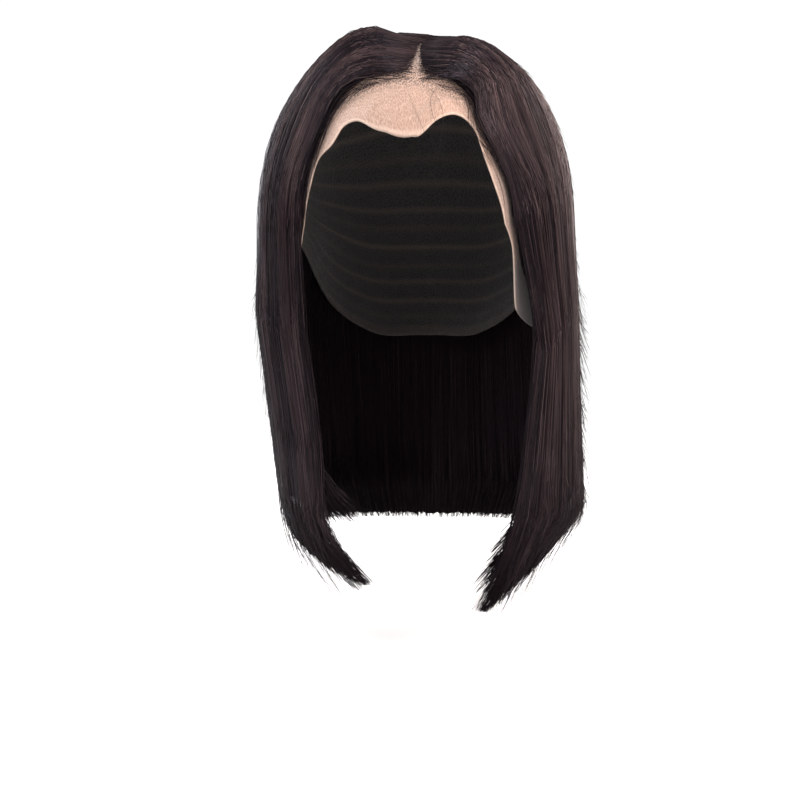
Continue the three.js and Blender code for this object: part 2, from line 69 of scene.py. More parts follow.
# Parting, crown and hairline
PART_X, PART_HALF_GAP, CROWN_OVERLAP = 6.5, 1.25, 0.3
PART_FRONT_Y, PART_BACK_Y, CROWN_Y = -75.0, 29.4, 30.0
PART_SHARE, RISE_SHARE, CLOSING_SHARE = 0.6, 0.3, 0.34
PART_PACE = 0.9
HAIRLINE_RISE, BACK_RISE = 3.0, 15.5
CROWN_RISE = {1: 14.0, -1: 18.5}
FRONT_BOW = {1: 11.0, -1: 7.0}
FRONT_DRAW = {1: 20.0, -1: 7.0}
BOW_POWER, DRAW_POWER = 1.5, 6.0
BOW_SHARE = 0.35
ROOT_LIFT, CROWN_LIFT, LIFT_TURN = 0.34, 0.9, 0.3

# Fall of the hair: 1 is the wearer's left and -1 the right
SIDE_SHARE, FRONT_THIN, FRONT_EDGE = 0.42, 0.2, 0.22
LEVEL_SHARE, HUNG_DROP = 0.42, 140.0
BACK_ROUND, SHARE_STEP = 0.9, 0.01
SECTION_COLUMNS = ("drop", "front_x", "front_y", "side_x", "side_y", "back_y", "wall")
SECTIONS = {
    1: [
        (105, 60, -59, 95, 6, 114, 18),
        (130, 68, -45, 97, 6, 113, 16),
        (160, 72, -46, 98, 6, 110, 15),
        (205, 67, -51, 100, 4, 105, 14),
        (250, 62, -57, 101.5, 1, 101, 12),
        (270, 59, -60, 100, -4, 99, 10),
        (284, 55, -63, 87, -20, 98, 9),
        (300, 50, -66, 74, -34, 98, 8),
        (314, 43, -69, 60, -48, 98, 6),
        (326, 37, -71, 42, -60, 98, 4),
    ],
    -1: [
        (105, 58, -62, 95, 6, 114, 18),
        (150, 58, -56, 97, 6, 111, 15),
        (205, 50, -56, 91, 3, 105, 14),
        (250, 46, -58, 85, -3, 101, 12),
        (264, 46, -60, 82, -8, 99, 11),
        (276, 43, -62, 76, -17, 98, 9),
        (288, 37, -64, 66, -30, 98, 8),
        (300, 27, -67, 51, -44, 98, 6),
        (316, 12, -71, 20, -60, 98, 4),
    ],
}
HEM_COLUMNS = ("share", "left", "right")
HEM = [
    (0, 315, 304),
    (0.14, 316, 306),
    (0.28, 302, 295),
    (0.42, 279, 281),
    (0.6, 281, 282),
    (0.8, 286, 286),
    (1, 288, 288),
]

# Depth of the outermost strands along their run, on each side
SURFACE_COLUMNS = ("along", "left", "right")
SURFACE = [
    (0, 0.86, 0.9),
    (0.02, 0.86, 1.0),
    (0.04, 0.82, 1.0),
    (0.08, 0.66, 0.85),
    (0.13, 0.59, 0.7),
    (0.2, 0.65, 0.68),
    (0.3, 0.72, 0.79),
    (0.42, 0.78, 0.84),
    (0.6, 0.75, 0.8),
    (0.8, 0.66, 0.68),
    (1, 0.63, 0.63),
]

# Lace: turn from ear tab to ear tab, with the Y of its front edge and of its seam to the cap
LACE_COLUMNS = ("turn", "front", "rear")
LACE = [
    (-1.9, -43, -31),
    (-1.7, -47, -29),
    (-1.4, -50, -32),
    (-1.15, -53, -29.5),
    (-1.0, -57, -28),
    (-0.85, -63.5, -20),
    (-0.76, -66.5, -15),
    (-0.66, -73.5, -9),
    (-0.5, -76.5, 0),
    (-0.4, -80, 5),
    (-0.3, -85, 9),
    (-0.13, -88.3, 13),
    (0.1, -89.2, 13.5),
    (0.25, -87, 10.5),
    (0.33, -82, 8),
    (0.43, -76, 4),
    (0.57, -71.8, -4),
    (0.73, -71.2, -13),
    (0.86, -68, -20.5),
    (1.0, -61, -28),
    (1.15, -55.5, -29.5),
    (1.4, -51.5, -32),
    (1.7, -47, -29),
    (1.9, -43, -31),
]
LACE_ENDS, TAB_FREE = 1.9, 1.15
TAB_TURN_FRONT, TAB_TURN_REAR = -3.0, 8.0

# Lower edge of the cap by bearing from the front, in degrees
CAP_COLUMNS = ("bearing", "drop")
CAP_EDGE = [(76, 121), (88, 113), (106, 114), (128, 150), (150, 166), (180, 168)]


def smooth_columns(names, rows):
    """One smooth curve for each column of a table, over its first column."""
    table = np.array(rows, float)
    at = table[:, 0]
    curves = {}
    for name, values in zip(names[1:], table.T[1:]):
        slopes = np.gradient(values, at)

        def curve(t, values=values, slopes=slopes):
            t = np.clip(t, at[0], at[-1])
            i = np.clip(np.searchsorted(at, t) - 1, 0, len(at) - 2)
            gap = at[i + 1] - at[i]
            p = (t - at[i]) / gap
            start = (1 + 2 * p) * (1 - p) ** 2 * values[i] + p * (1 - p) ** 2 * gap * slopes[i]
            end = p * p * (3 - 2 * p) * values[i + 1] + p * p * (p - 1) * gap * slopes[i + 1]
            return start + end

        curves[name] = curve
    return curves


SECTION = {side: smooth_columns(SECTION_COLUMNS, rows) for side, rows in SECTIONS.items()}
HEM_DROP = smooth_columns(HEM_COLUMNS, HEM)
SURFACE_DEPTH = smooth_columns(SURFACE_COLUMNS, SURFACE)
LACE_EDGE = smooth_columns(LACE_COLUMNS, LACE)
CAP_DROP = smooth_columns(CAP_COLUMNS, CAP_EDGE)["drop"]


def lerp(a, b, t):
    return a + (b - a) * t


def smoothstep(value, low, high):
    t = np.clip((value - low) / (high - low), 0, 1)
    return t * t * (3 - 2 * t)


def signed_power(value, power):
    return np.sign(value) * np.abs(value) ** power


def points(x, y, z):
    return np.stack(np.broadcast_arrays(x, y, z), axis=-1).astype(float)


# Head form


def narrowing(y):
    """Share of the head's width at depth y: the forehead is narrower than the back."""
    return 1 - FRONT_TAPER * np.maximum(0, -y) / HALF_LENGTH


def head_at_turn(turn, y, offset):
    """Points of the head form, grown by offset, at ear-to-ear turns and depths y."""
    girth = np.maximum(0, 1 - np.abs(y / (HALF_LENGTH + offset)) ** POWER) ** (1 / POWER)
    angle = np.clip(turn, -1, 1) * (math.pi / 2)
    x = (HALF_WIDTH * narrowing(y) + offset) * girth * signed_power(np.sin(angle), 2 / POWER)
    rise = (CROWN_HEIGHT + offset) * girth * np.abs(np.cos(angle)) ** (2 / POWER)
    drop = np.maximum(0, np.abs(turn) - 1) * TURN_DROP
    return points(x, y, WIDEST_Z + rise - drop)


def head_level(p, offset):
    """How far out points lie: 1 on the form grown by offset, less inside it."""
    x, y, z = np.moveaxis(p, -1, 0)
    level = np.abs(x / (HALF_WIDTH * narrowing(y) + offset)) ** POWER
    level = level + np.abs(y / (HALF_LENGTH + offset)) ** POWER
    level = level + (np.maximum(0, z - WIDEST_Z) / (CROWN_HEIGHT + offset)) ** POWER
    return np.maximum(level, TINY) ** (1 / POWER)


def on_head(p, offset):
    """Points moved onto the form grown by offset, along lines through its middle."""
    centre = np.array([0, 0, WIDEST_Z])
    moved = p - centre
    for _ in range(3):
        moved = moved / head_level(moved + centre, offset)[..., None]
    return moved + centre


# Hair form: share from the front edge (0) to the middle of the back (1), along from root (0) to
# tip (1), depth from the cap (0) to the outside (1)


def hair_root(side, share):
    """Where the outside of the hair starts: along the parting, and at the crown behind it."""
    parted = share < PART_SHARE
    part = np.clip(share / PART_SHARE, 0, 1)
    y = np.where(parted, lerp(PART_FRONT_Y, PART_BACK_Y, part**PART_PACE), CROWN_Y)
    full = lerp(CROWN_RISE[side], BACK_RISE, smoothstep(share, RISE_SHARE, PART_SHARE))
    rise = lerp(HAIRLINE_RISE, full, smoothstep(share, 0, RISE_SHARE))
    root = head_at_turn(0 * y, y, CAP_WALL + rise)
    gap = lerp(PART_HALF_GAP, -CROWN_OVERLAP, smoothstep(share, CLOSING_SHARE, PART_SHARE))
    root[..., 0] = PART_X + side * np.where(parted, gap, 0)
    return root


def side_name(side):
    return "left" if side > 0 else "right"


def fall_outline(side, share, drop):
    """Outside of the falling hair at drops below the crown."""
    section = {name: curve(drop) for name, curve in SECTION[side].items()}
    front = share / SIDE_SHARE * (math.pi / 2)
    back = np.clip((share - SIDE_SHARE) / (1 - SIDE_SHARE), 0, 1) * (math.pi / 2)
    ahead = share < SIDE_SHARE
    front_x = lerp(section["front_x"], section["side_x"], np.sin(front))
    back_x = section["side_x"] * np.maximum(0, np.cos(back)) ** BACK_ROUND
    front_y = lerp(section["side_y"], section["front_y"], np.cos(front))
    back_y = lerp(section["side_y"], section["back_y"], np.sin(back))
    return points(side * np.where(ahead, front_x, back_x), np.where(ahead, front_y, back_y), -drop)


def dome_point(side, share, turn, depth):
    """Points of the hair over the head, from the root (turn 0) to the widest level (turn 1)."""
    root = hair_root(side, share)
    foot = fall_outline(side, share, -WIDEST_Z + 0 * share)
    angle = np.clip(turn, 0, 1) * (math.pi / 2)
    out = np.sin(angle) ** (2 / POWER)
    up = np.abs(np.cos(angle)) ** (2 / POWER)
    outer = lerp(root, foot, out[..., None])
    outer[..., 2] = lerp(WIDEST_Z, root[..., 2], up)
    bowed = 1 - smoothstep(share, 0, BOW_SHARE)
    outer[..., 1] -= FRONT_BOW[side] * bowed * np.sin(math.pi * out**BOW_POWER)
    outer[..., 0] -= side * FRONT_DRAW[side] * bowed * np.sin(math.pi * out**DRAW_POWER)
    seat = CAP_WALL + SEAT_GAP
    low = head_level(outer, seat + HAIRLINE_RISE) < 1
    outer = np.where(low[..., None], on_head(outer, seat + HAIRLINE_RISE), outer)
    inner = on_head(outer, seat)
    rooted = lerp(ROOT_LIFT, CROWN_LIFT, smoothstep(share, CLOSING_SHARE, PART_SHARE))
    lift = lerp(rooted, 1, smoothstep(turn, 0, LIFT_TURN))
    return lerp(inner, outer, (depth * lift)[..., None])


def fall_point(side, share, run, depth):
    """Points of the falling hair, from the widest level (run 0) to the hem (run 1)."""
    hem = HEM_DROP[side_name(side)](np.clip(share, 0, 1))
    drop = lerp(-WIDEST_Z, hem, np.maximum(run, 0))
    outer = fall_outline(side, share, drop)
    ahead = fall_outline(side, np.minimum(share + SHARE_STEP, 1), drop)
    behind = fall_outline(side, share - SHARE_STEP, drop)
    across = ahead - behind
    inward = side * points(-across[..., 1], across[..., 0], 0)
    inward = inward / np.maximum(np.linalg.norm(inward, axis=-1, keepdims=True), TINY)
    thin = lerp(FRONT_EDGE, 1, smoothstep(share, 0, FRONT_THIN))
    hung = SECTION[side]["wall"](drop) * thin
    worn = np.linalg.norm(outer - on_head(outer, CAP_WALL + SEAT_GAP), axis=-1)
    wall = lerp(worn, hung, smoothstep(drop, -WIDEST_Z, HUNG_DROP))
    return outer + inward * (wall * (1 - depth))[..., None]


def hair_point(side, share, along, depth):
    """Points of the whole hair form, over the head and then down."""
    share, along, depth = (np.array(a, float) for a in np.broadcast_arrays(share, along, depth))
    dome = dome_point(side, share, along / LEVEL_SHARE, depth)
    fall = fall_point(side, share, (along - LEVEL_SHARE) / (1 - LEVEL_SHARE), depth)
    return np.where((along < LEVEL_SHARE)[..., None], dome, fall)


# Meshes

STRAND_SIDES = 3


def add_object(name, data):
    made = bpy.data.objects.new(name, data)
    bpy.context.scene.collection.objects.link(made)
    return made


def make_piece(name, corners, quads, triangles, materials, floats=None, flow=None, second=None):
    """A mesh in metres that rides on the part's one body, with smooth quads and flat triangles.

    second is 1 for each face of the second material and 0 for the rest.
    """
    quads = np.array(quads, np.int32).reshape(-1, 4)
    triangles = np.array(triangles, np.int32).reshape(-1, 3)
    loops = np.concatenate([quads.ravel(), triangles.ravel()])
    sizes = np.concatenate([np.full(len(quads), 4), np.full(len(triangles), 3)]).astype(np.int32)
    mesh = bpy.data.meshes.new(name)
    mesh.vertices.add(len(corners))
    mesh.vertices.foreach_set("co", (np.asarray(corners) * MM).astype(np.float32).ravel())
    mesh.loops.add(len(loops))
    mesh.loops.foreach_set("vertex_index", loops)
    mesh.polygons.add(len(sizes))
    starts = np.concatenate([[0], np.cumsum(sizes)[:-1]]).astype(np.int32)
    mesh.polygons.foreach_set("loop_start", starts)
    mesh.polygons.foreach_set("use_smooth", sizes == 4)
    mesh.update(calc_edges=True)
    for label, values in (floats or {}).items():
        layer = mesh.attributes.new(label, "FLOAT", "POINT")
        layer.data.foreach_set("value", np.asarray(values, np.float32).ravel())
    if flow is not None:
        layer = mesh.uv_layers.new(name="flow")
        layer.data.foreach_set("uv", np.asarray(flow, np.float32)[loops].ravel())
    for material in materials:
        mesh.materials.append(material)
    if second is not None:
        mesh.polygons.foreach_set("material_index", np.asarray(second, np.int32))
    piece = add_object(name, mesh)
    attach(piece, "root")
    return piece


def wall_piece(name, inner, outer, material, floats=None, flow=None):
    """A closed wall between two grids of points of the same shape."""
    columns, rows = inner.shape[:2]
    index = np.arange(2 * columns * rows).reshape(2, columns, rows)
    near, far = index
    quads = [
        np.stack([far[:-1, :-1], far[:-1, 1:], far[1:, 1:], far[1:, :-1]], -1),
        np.stack([near[:-1, :-1], near[1:, :-1], near[1:, 1:], near[:-1, 1:]], -1),
        np.stack([near[:-1, 0], far[:-1, 0], far[1:, 0], near[1:, 0]], -1),
        np.stack([far[:-1, -1], near[:-1, -1], near[1:, -1], far[1:, -1]], -1),
        np.stack([near[0, :-1], near[0, 1:], far[0, 1:], far[0, :-1]], -1),
        np.stack([far[-1, :-1], far[-1, 1:], near[-1, 1:], near[-1, :-1]], -1),
    ]
    quads = np.concatenate([q.reshape(-1, 4) for q in quads])
    corners = np.stack([inner, outer]).reshape(-1, 3)
    return make_piece(name, corners, quads, [], [material], floats, flow)


def strand_piece(name, paths, radii, tints, crown=False):
    """Closed three-sided strands along paths (strand, station, xyz), smooth shaded to look round.

    crown tells which strands meet at the crown, where their first stretch is matt.
    """
    count, stations = paths.shape[:2]
    ahead = np.gradient(paths, axis=1)
    ahead /= np.maximum(np.linalg.norm(ahead, axis=-1, keepdims=True), TINY)
    outward = paths - np.array([0, 0, WIDEST_Z])
    side = np.cross(ahead, outward)
    side /= np.maximum(np.linalg.norm(side, axis=-1, keepdims=True), TINY)
    up = np.cross(side, ahead)
    rings = []
    for corner in range(STRAND_SIDES):
        angle = math.pi / 2 + corner * 2 * math.pi / STRAND_SIDES
        rings.append(paths + radii[..., None] * (math.cos(angle) * side + math.sin(angle) * up))
    corners = np.stack(rings, axis=2)
    shape = (count, stations, STRAND_SIDES)
    index = np.arange(math.prod(shape)).reshape(shape)
    turned = np.roll(index, -1, axis=2)
    quads = np.stack([index[:, :-1], turned[:, :-1], turned[:, 1:], index[:, 1:]], -1)
    triangles = np.concatenate([index[:, 0, ::-1], index[:, -1]])
    floats = {
        "tint": np.broadcast_to(tints[:, None, None], shape),
        "run": np.broadcast_to(np.linspace(0, 1, stations)[None, :, None], shape),
    }
    matt = np.zeros((count, stations - 1, STRAND_SIDES), int)
    matt[:, 0] = np.broadcast_to(crown, count)[:, None]
    second = np.concatenate([matt.ravel(), matt[:, 0, 0], np.zeros(count, int)])
    corners, quads = corners.reshape(-1, 3), quads.reshape(-1, 4)
    return make_piece(name, corners, quads, triangles, [STRANDS, ROOTS], floats, second=second)


# Materials


class Nodes:
    """A short way to add and link the nodes of one material."""

    def __init__(self, name):
        self.material = bpy.data.materials.new(name)
        self.material.use_nodes = True
        self.tree = self.material.node_tree
        self.shader = self.tree.nodes["Principled BSDF"]

    def add(self, kind, inputs=None, **settings):
        node = self.tree.nodes.new("ShaderNode" + kind)
        for key, value in settings.items():
            setattr(node, key, value)
        for key, value in (inputs or {}).items():
            self.put(value, node.inputs[key])
        return node

    def put(self, value, socket):
        if isinstance(value, bpy.types.NodeSocket):
            self.tree.links.new(value, socket)
        else:
            socket.default_value = value

    def attribute(self, name):
        return self.add("Attribute", attribute_name=name).outputs["Fac"]

    def flow(self):
        return self.add("UVMap", uv_map="flow").outputs["UV"]

    def noise(self, place, scale, detail=2.0):
        inputs = {"Vector": place, "Scale": scale, "Detail": detail}
        return self.add("TexNoise", inputs).outputs["Fac"]

    def fade(self, value, start, end):
        """1 up to start, down to 0 at end."""
        limits = {"Value": value, "From Min": start, "From Max": end, "To Min": 1.0, "To Max": 0.0}
        return self.add("MapRange", limits).outputs["Result"]

    def threads(self, place, scale, width):
        """1 on the threads of a net, 0 in its holes."""
        net = self.add("TexVoronoi", {"Vector": place, "Scale": scale}, feature="DISTANCE_TO_EDGE")
        return self.fade(net.outputs["Distance"], 0.0, width)

    def ramp(self, fac, *stops):
        node = self.add("ValToRGB", {"Fac": fac})
        elements = node.color_ramp.elements
        for place, _ in stops[2:]:
            elements.new(place)
        for element, (place, colour) in zip(elements, stops):
            element.position = place
            element.color = (*colour, 1)
        return node.outputs["Color"]

    def blend(self, kind, fac, first, second):
        node = self.add("Mix", data_type="RGBA", blend_type=kind)
        self.put(fac, node.inputs[0])
        self.put(first, node.inputs[6])
        self.put(second, node.inputs[7])
        return node.outputs[2]

    def math(self, operation, first, second):
        return self.add("Math", {0: first, 1: second}, operation=operation).outputs[0]

    def scaled(self, value, factor, offset):
        """value times factor, plus offset."""
        return self.math("ADD", self.math("MULTIPLY", value, factor), offset)

    def bump(self, height, strength, distance):
        node = self.add("Bump", {"Height": height, "Strength": strength, "Distance": distance})
        return node.outputs["Normal"]

    def surface(self, **inputs):
        for key, value in inputs.items():
            self.put(value, self.shader.inputs[key.replace("_", " ")])
        return self.material


HAIR_DARK = (0.0012, 0.001, 0.0014)
HAIR_MID = (0.006, 0.0038, 0.0048)
HAIR_WARM = (0.026, 0.0155, 0.016)
# Painted highlight: the pale tone of the few light strands that stand in for glints
HAIR_GLINT = (0.15, 0.105, 0.098)
HAIR_GLOSS = (0.92, 0.74, 0.85, 1)
HAIR_IOR, STRAND_GLOSS, MASS_GLOSS = 1.5, 0.115, 0.04
# Patches along the strands: partly random tone and partly painted sheen
PATCH_SCALE, PATCH_LEAST, PATCH_RANGE = (45.0, 45.0, 9.0), 0.75, 0.5
GRAIN_SCALE, GRAIN_ROUGH, STRAND_ROUGH = 900.0, 0.12, 0.24
ROOT_ROUGH, ROOT_REACH = 0.6, (0.01, 0.06)
STREAK_SCALE, STREAK_DETAIL, MASS_ROUGH = (900.0, 5.0, 1.0), 4.0, 0.65
# Painted shade along each strand by its run: a little darker at the root, much darker towards the
# tip
ROOT_TO_TIP_SHADE = [
    (0.0, (0.75, 0.75, 0.77)),
    (0.15, (1, 1, 1)),
    (0.4, (1, 1, 1)),
    (0.6, (0.72, 0.72, 0.75)),
    (0.85, (0.45, 0.45, 0.5)),
]


def strand_material(name, gloss):
    """Dark satin hair with a tint for each strand, in long patches, and painted shade at root and
    tip.
    """
    nodes = Nodes(name)
    run = nodes.attribute("run")
    place = nodes.add("TexCoord").outputs["Object"]
    # Long patches, partly random tone and partly painted sheen: they break the light strands into
    # pieces like broken highlights
    drawn_out = nodes.add("Mapping", {"Vector": place, "Scale": PATCH_SCALE}).outputs["Vector"]
    tone_and_sheen_patch = nodes.scaled(nodes.noise(drawn_out, 1.0), PATCH_RANGE, PATCH_LEAST)
    tint = nodes.math("MULTIPLY", nodes.attribute("tint"), tone_and_sheen_patch)
    stops = ((0.0, HAIR_DARK), (0.45, HAIR_MID), (0.8, HAIR_WARM), (1.0, HAIR_GLINT))
    colour = nodes.ramp(tint, *stops)
    # Painted shade: darkens the root a little and the lower lengths and tip much more
    colour = nodes.blend("MULTIPLY", 1.0, colour, nodes.ramp(run, *ROOT_TO_TIP_SHADE))
    grain = nodes.noise(place, GRAIN_SCALE)
    rough = nodes.scaled(grain, GRAIN_ROUGH, STRAND_ROUGH)
    rough = nodes.scaled(nodes.fade(run, *ROOT_REACH), ROOT_ROUGH, rough)
    normal = nodes.bump(grain, 0.15, 0.0002)
    return nodes.surface(
        Base_Color=colour,
        Roughness=rough,
        IOR=HAIR_IOR,
        Specular_IOR_Level=gloss,
        Specular_Tint=HAIR_GLOSS,
        Normal=normal,
    )


def mass_material():
    """The hair under the outermost strands: fine streaks that run from root to tip."""
    nodes = Nodes("hair_mass")
    spread = nodes.add("Mapping", {"Vector": nodes.flow(), "Scale": STREAK_SCALE})
    streak = nodes.noise(spread.outputs["Vector"], 1.0, STREAK_DETAIL)
    colour = nodes.ramp(streak, (0.3, HAIR_DARK), (0.58, HAIR_MID), (0.8, HAIR_WARM))
    normal = nodes.bump(streak, 0.8, 0.0008)
    return nodes.surface(
        Base_Color=colour,
        Roughness=MASS_ROUGH,
        IOR=HAIR_IOR,
        Specular_IOR_Level=MASS_GLOSS,
        Specular_Tint=HAIR_GLOSS,
        Normal=normal,
    )


LACE_SHADE = (0.18, 0.104, 0.073)
LACE_TONE = (0.212, 0.123, 0.087)
LACE_THREAD = (0.37, 0.26, 0.203, 1)
LACE_RIM = (0.5, 0.38, 0.31, 1)
# Dark grey for painted shade on the lace, and for dark hair seen through the free ear tab
LACE_SEE_THROUGH_AND_SHADE = (0.05, 0.042, 0.042, 1)
KNOT = (0.03, 0.02, 0.018, 1)
NET_SCALE, NET_THREAD, NET_WEIGHT = 0.8, 0.17, 0.6
KNOT_SCALE, KNOT_EDGE, KNOT_WEIGHT = 0.8, (0.26, 0.44), 0.9
RIM_WEIGHT, TONE_SCALE = 0.35, 0.05
CAP_HOLE = (0.002, 0.0017, 0.0018, 1)
CAP_THREAD = (0.014, 0.011, 0.0105, 1)
CAP_WEFT = (0.036, 0.026, 0.023, 1)
CAP_NET_SCALE, CAP_NET_THREAD = 0.55, 0.2


def lace_material():
    """Skin-toned net with a paler rim, knots where hair is tied in, and painted shade at its sides,
    parting and under the hair; on the ear tab also dark hair seen through it.
    """
    nodes = Nodes("lace_net")
    flow = nodes.flow()
    thread = nodes.threads(flow, NET_SCALE, NET_THREAD)
    colour = nodes.ramp(nodes.noise(flow, TONE_SCALE), (0.3, LACE_SHADE), (0.7, LACE_TONE))
    woven = nodes.math("MULTIPLY", thread, NET_WEIGHT)
    colour = nodes.blend("MIX", woven, colour, LACE_THREAD)
    # Painted shade, with dark hair seen through the ear tab: the lace is mixed towards dark grey
    # here
    colour = nodes.blend("MIX", nodes.attribute("see_through_and_shade"), colour, LACE_SEE_THROUGH_AND_SHADE)
    rim = nodes.math("MULTIPLY", nodes.attribute("rim"), RIM_WEIGHT)
    colour = nodes.blend("MIX", rim, colour, LACE_RIM)
    ties = nodes.add("TexVoronoi", {"Vector": flow, "Scale": KNOT_SCALE}, voronoi_dimensions="2D")
    dots = nodes.fade(ties.outputs["Distance"], *KNOT_EDGE)
    knots = nodes.math("MULTIPLY", dots, nodes.attribute("tied"))
    colour = nodes.blend("MIX", nodes.math("MULTIPLY", knots, KNOT_WEIGHT), colour, KNOT)
    normal = nodes.bump(thread, 0.5, 0.0004)
    return nodes.surface(Base_Color=colour, Roughness=0.75, Sheen_Weight=0.1, Normal=normal)


def cap_material():
    """Dark stretch net with rows of sewn weft across it."""
    nodes = Nodes("cap_net")
    thread = nodes.threads(nodes.flow(), CAP_NET_SCALE, CAP_NET_THREAD)
    weft = nodes.attribute("weft")
    colour = nodes.blend("MIX", thread, CAP_HOLE, CAP_THREAD)
    colour = nodes.blend("MIX", weft, colour, CAP_WEFT)
    normal = nodes.bump(nodes.math("ADD", thread, weft), 0.6, 0.0006)
    return nodes.surface(Base_Color=colour, Roughness=0.8, Sheen_Weight=0.1, Normal=normal)


def floor_material():
    """Pale floor with painted shade: greyer under the part and nearly white away from it."""
    nodes = Nodes("floor_with_painted_shade")
    place = nodes.add("TexCoord").outputs["Object"]
    distance = nodes.add("VectorMath", {0: place}, operation="LENGTH").outputs["Value"]
    # Painted shade: grey under the part, nearly white further out
    tone = nodes.ramp(distance, (0.25, (0.5, 0.5, 0.5)), (1.0, (0.97, 0.97, 0.97)))
    return nodes.surface(Base_Color=tone, Roughness=0.9, Specular_IOR_Level=0.1)


STRANDS = strand_material("hair_strands", STRAND_GLOSS)
ROOTS = strand_material("hair_roots", 0.0)
MASS = mass_material()

# Hair mass: a closed wall under the strands for each hair node

MASS_ROWS, MASS_SIDE_COLUMNS, MASS_BACK_COLUMNS = 70, 90, 120
MASS_OUTER, MASS_INNER, MASS_LEAST = 0.82, 0.02, 0.05
MASS_START, MASS_FRONT_START = 0.003, 0.035
MASS_END, MASS_FRONT_END = 0.985, 0.9
MASS_FIRST, MASS_OVERLAP = 0.004, 0.008
MASS_TIP_THIN, MASS_TIP_HOLLOW = 0.55, 0.25
MASS_CROWN, MASS_EDGE = 0.76, 0.3
MASS_RAGGED, MASS_RIPPLE = 0.002, 0.03
SOFT_HAIRLINE, MASS_BEHIND = 0.032, 0.024
CROWN_CLOSED = PART_SHARE - 0.04

# Where a change sets in and where it is complete, in share of the hair or along its run
EDGE_SHARES, HAIRLINE_SHARES, ROOT_SHARES = (0, 0.1), (0, 0.2), (0, 0.12)
MASS_LOCK_SHARES, FRONT_LOCK_SHARES, TIP_SHARES = (0.15, 0.42), (0.2, 0.42), (0.15, 0.4)
BROW_RUN, EAR_RUN, MEETING_RUN = (0.05, 0.16), (0.33, LEVEL_SHARE), (0.02, 0.12)
CROWN_RUN, TIP_RUN = (0, 0.06), (0.8, 1.0)


def behind_hairline(share, along):
    """How far hair lies behind the front edge of the form, over the lace."""
    near = SOFT_HAIRLINE * (1 - smoothstep(share, *HAIRLINE_SHARES))
    return near * smoothstep(along, *BROW_RUN) * (1 - smoothstep(along, *EAR_RUN))


def crown_of(share):
    """0 along the parting, 1 where the hair closes over the crown."""
    return smoothstep(share, CLOSING_SHARE, CROWN_CLOSED)


def crown_level(side, share, along):
    """Brings both sides to one height where they meet behind the parting."""
    closing = smoothstep(share, RISE_SHARE, PART_SHARE)
    own = lerp(CROWN_RISE[side], BACK_RISE, closing)
    other = lerp(CROWN_RISE[-side], BACK_RISE, closing)
    met = smoothstep(share, RISE_SHARE, SIDE_SHARE) * (1 - smoothstep(along, *MEETING_RUN))
    return lerp(1, 0.5 * (own + other) / own, met)


def mass_piece(node, places, columns):
    """places gives the side and the share of hair for each column round the head."""
    inner, outer, flow = [], [], []
    for side, share in (places(t) for t in np.linspace(0, 1, columns)):
        start = lerp(MASS_FRONT_START, MASS_START, smoothstep(share, *ROOT_SHARES))
        dome = np.linspace(start, LEVEL_SHARE, MASS_ROWS // 2, endpoint=False)
        ragged = MASS_RAGGED * (1 + math.sin(share * 310 + 4 * math.sin(share * 70)))
        end = lerp(MASS_FRONT_END, MASS_END, smoothstep(share, *MASS_LOCK_SHARES)) - ragged
        along = np.concatenate([dome, np.linspace(LEVEL_SHARE, end, MASS_ROWS - len(dome))])
        thin = 1 - MASS_TIP_THIN * smoothstep(along, TIP_RUN[0], MASS_END)
        surface = SURFACE_DEPTH[side_name(side)](along)
        crown = lerp(MASS_CROWN, 1, smoothstep(along, *CROWN_RUN))
        rise = lerp(smoothstep(along, 0.01, 0.13), crown, crown_of(share))
        rise = rise * crown_level(side, share, along)
        edge = lerp(MASS_EDGE, 1, smoothstep(share, *EDGE_SHARES))
        ripple = MASS_RIPPLE * np.sin(share * 190 + 2.2 * np.sin(share * 41))
        ripple = ripple * smoothstep(along, 0.05, 0.3)
        at_edge = 1 - smoothstep(share, *EDGE_SHARES)
        brow = MASS_BEHIND * at_edge * (1 - smoothstep(along, *BROW_RUN))
        share = share + behind_hairline(share, along) + brow
        depth = (MASS_OUTER * thin * edge + ripple) * surface * rise
        inner.append(hair_point(side, share, along, MASS_INNER + MASS_TIP_HOLLOW * (1 - thin)))
        outer.append(hair_point(side, share, along, MASS_LEAST + depth))
        flow.append(np.stack([side * share, along], -1))
    flow = np.stack([flow, flow]).reshape(-1, 2)
    piece = wall_piece(f"{node}_mass", np.array(inner), np.array(outer), MASS, flow=flow)
    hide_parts(node)


def side_places(side):
    return lambda t: (side, lerp(MASS_FIRST, PART_SHARE + MASS_OVERLAP, t))


def back_places(t):
    return (-1 if t < 0.5 else 1, lerp(1, PART_SHARE - MASS_OVERLAP, abs(2 * t - 1)))


mass_piece("hair_left", side_places(1), MASS_SIDE_COLUMNS)
mass_piece("hair_right", side_places(-1), MASS_SIDE_COLUMNS)
mass_piece("hair_back", back_places, MASS_BACK_COLUMNS)

# Strands

SIDE_STRANDS, BACK_STRANDS, INNER_STRANDS = 2150, 1050, 800
STRAND_RADIUS, STRAND_DEPTHS, INNER_SCALE = 0.2, (0.86, 1.03), 1.1
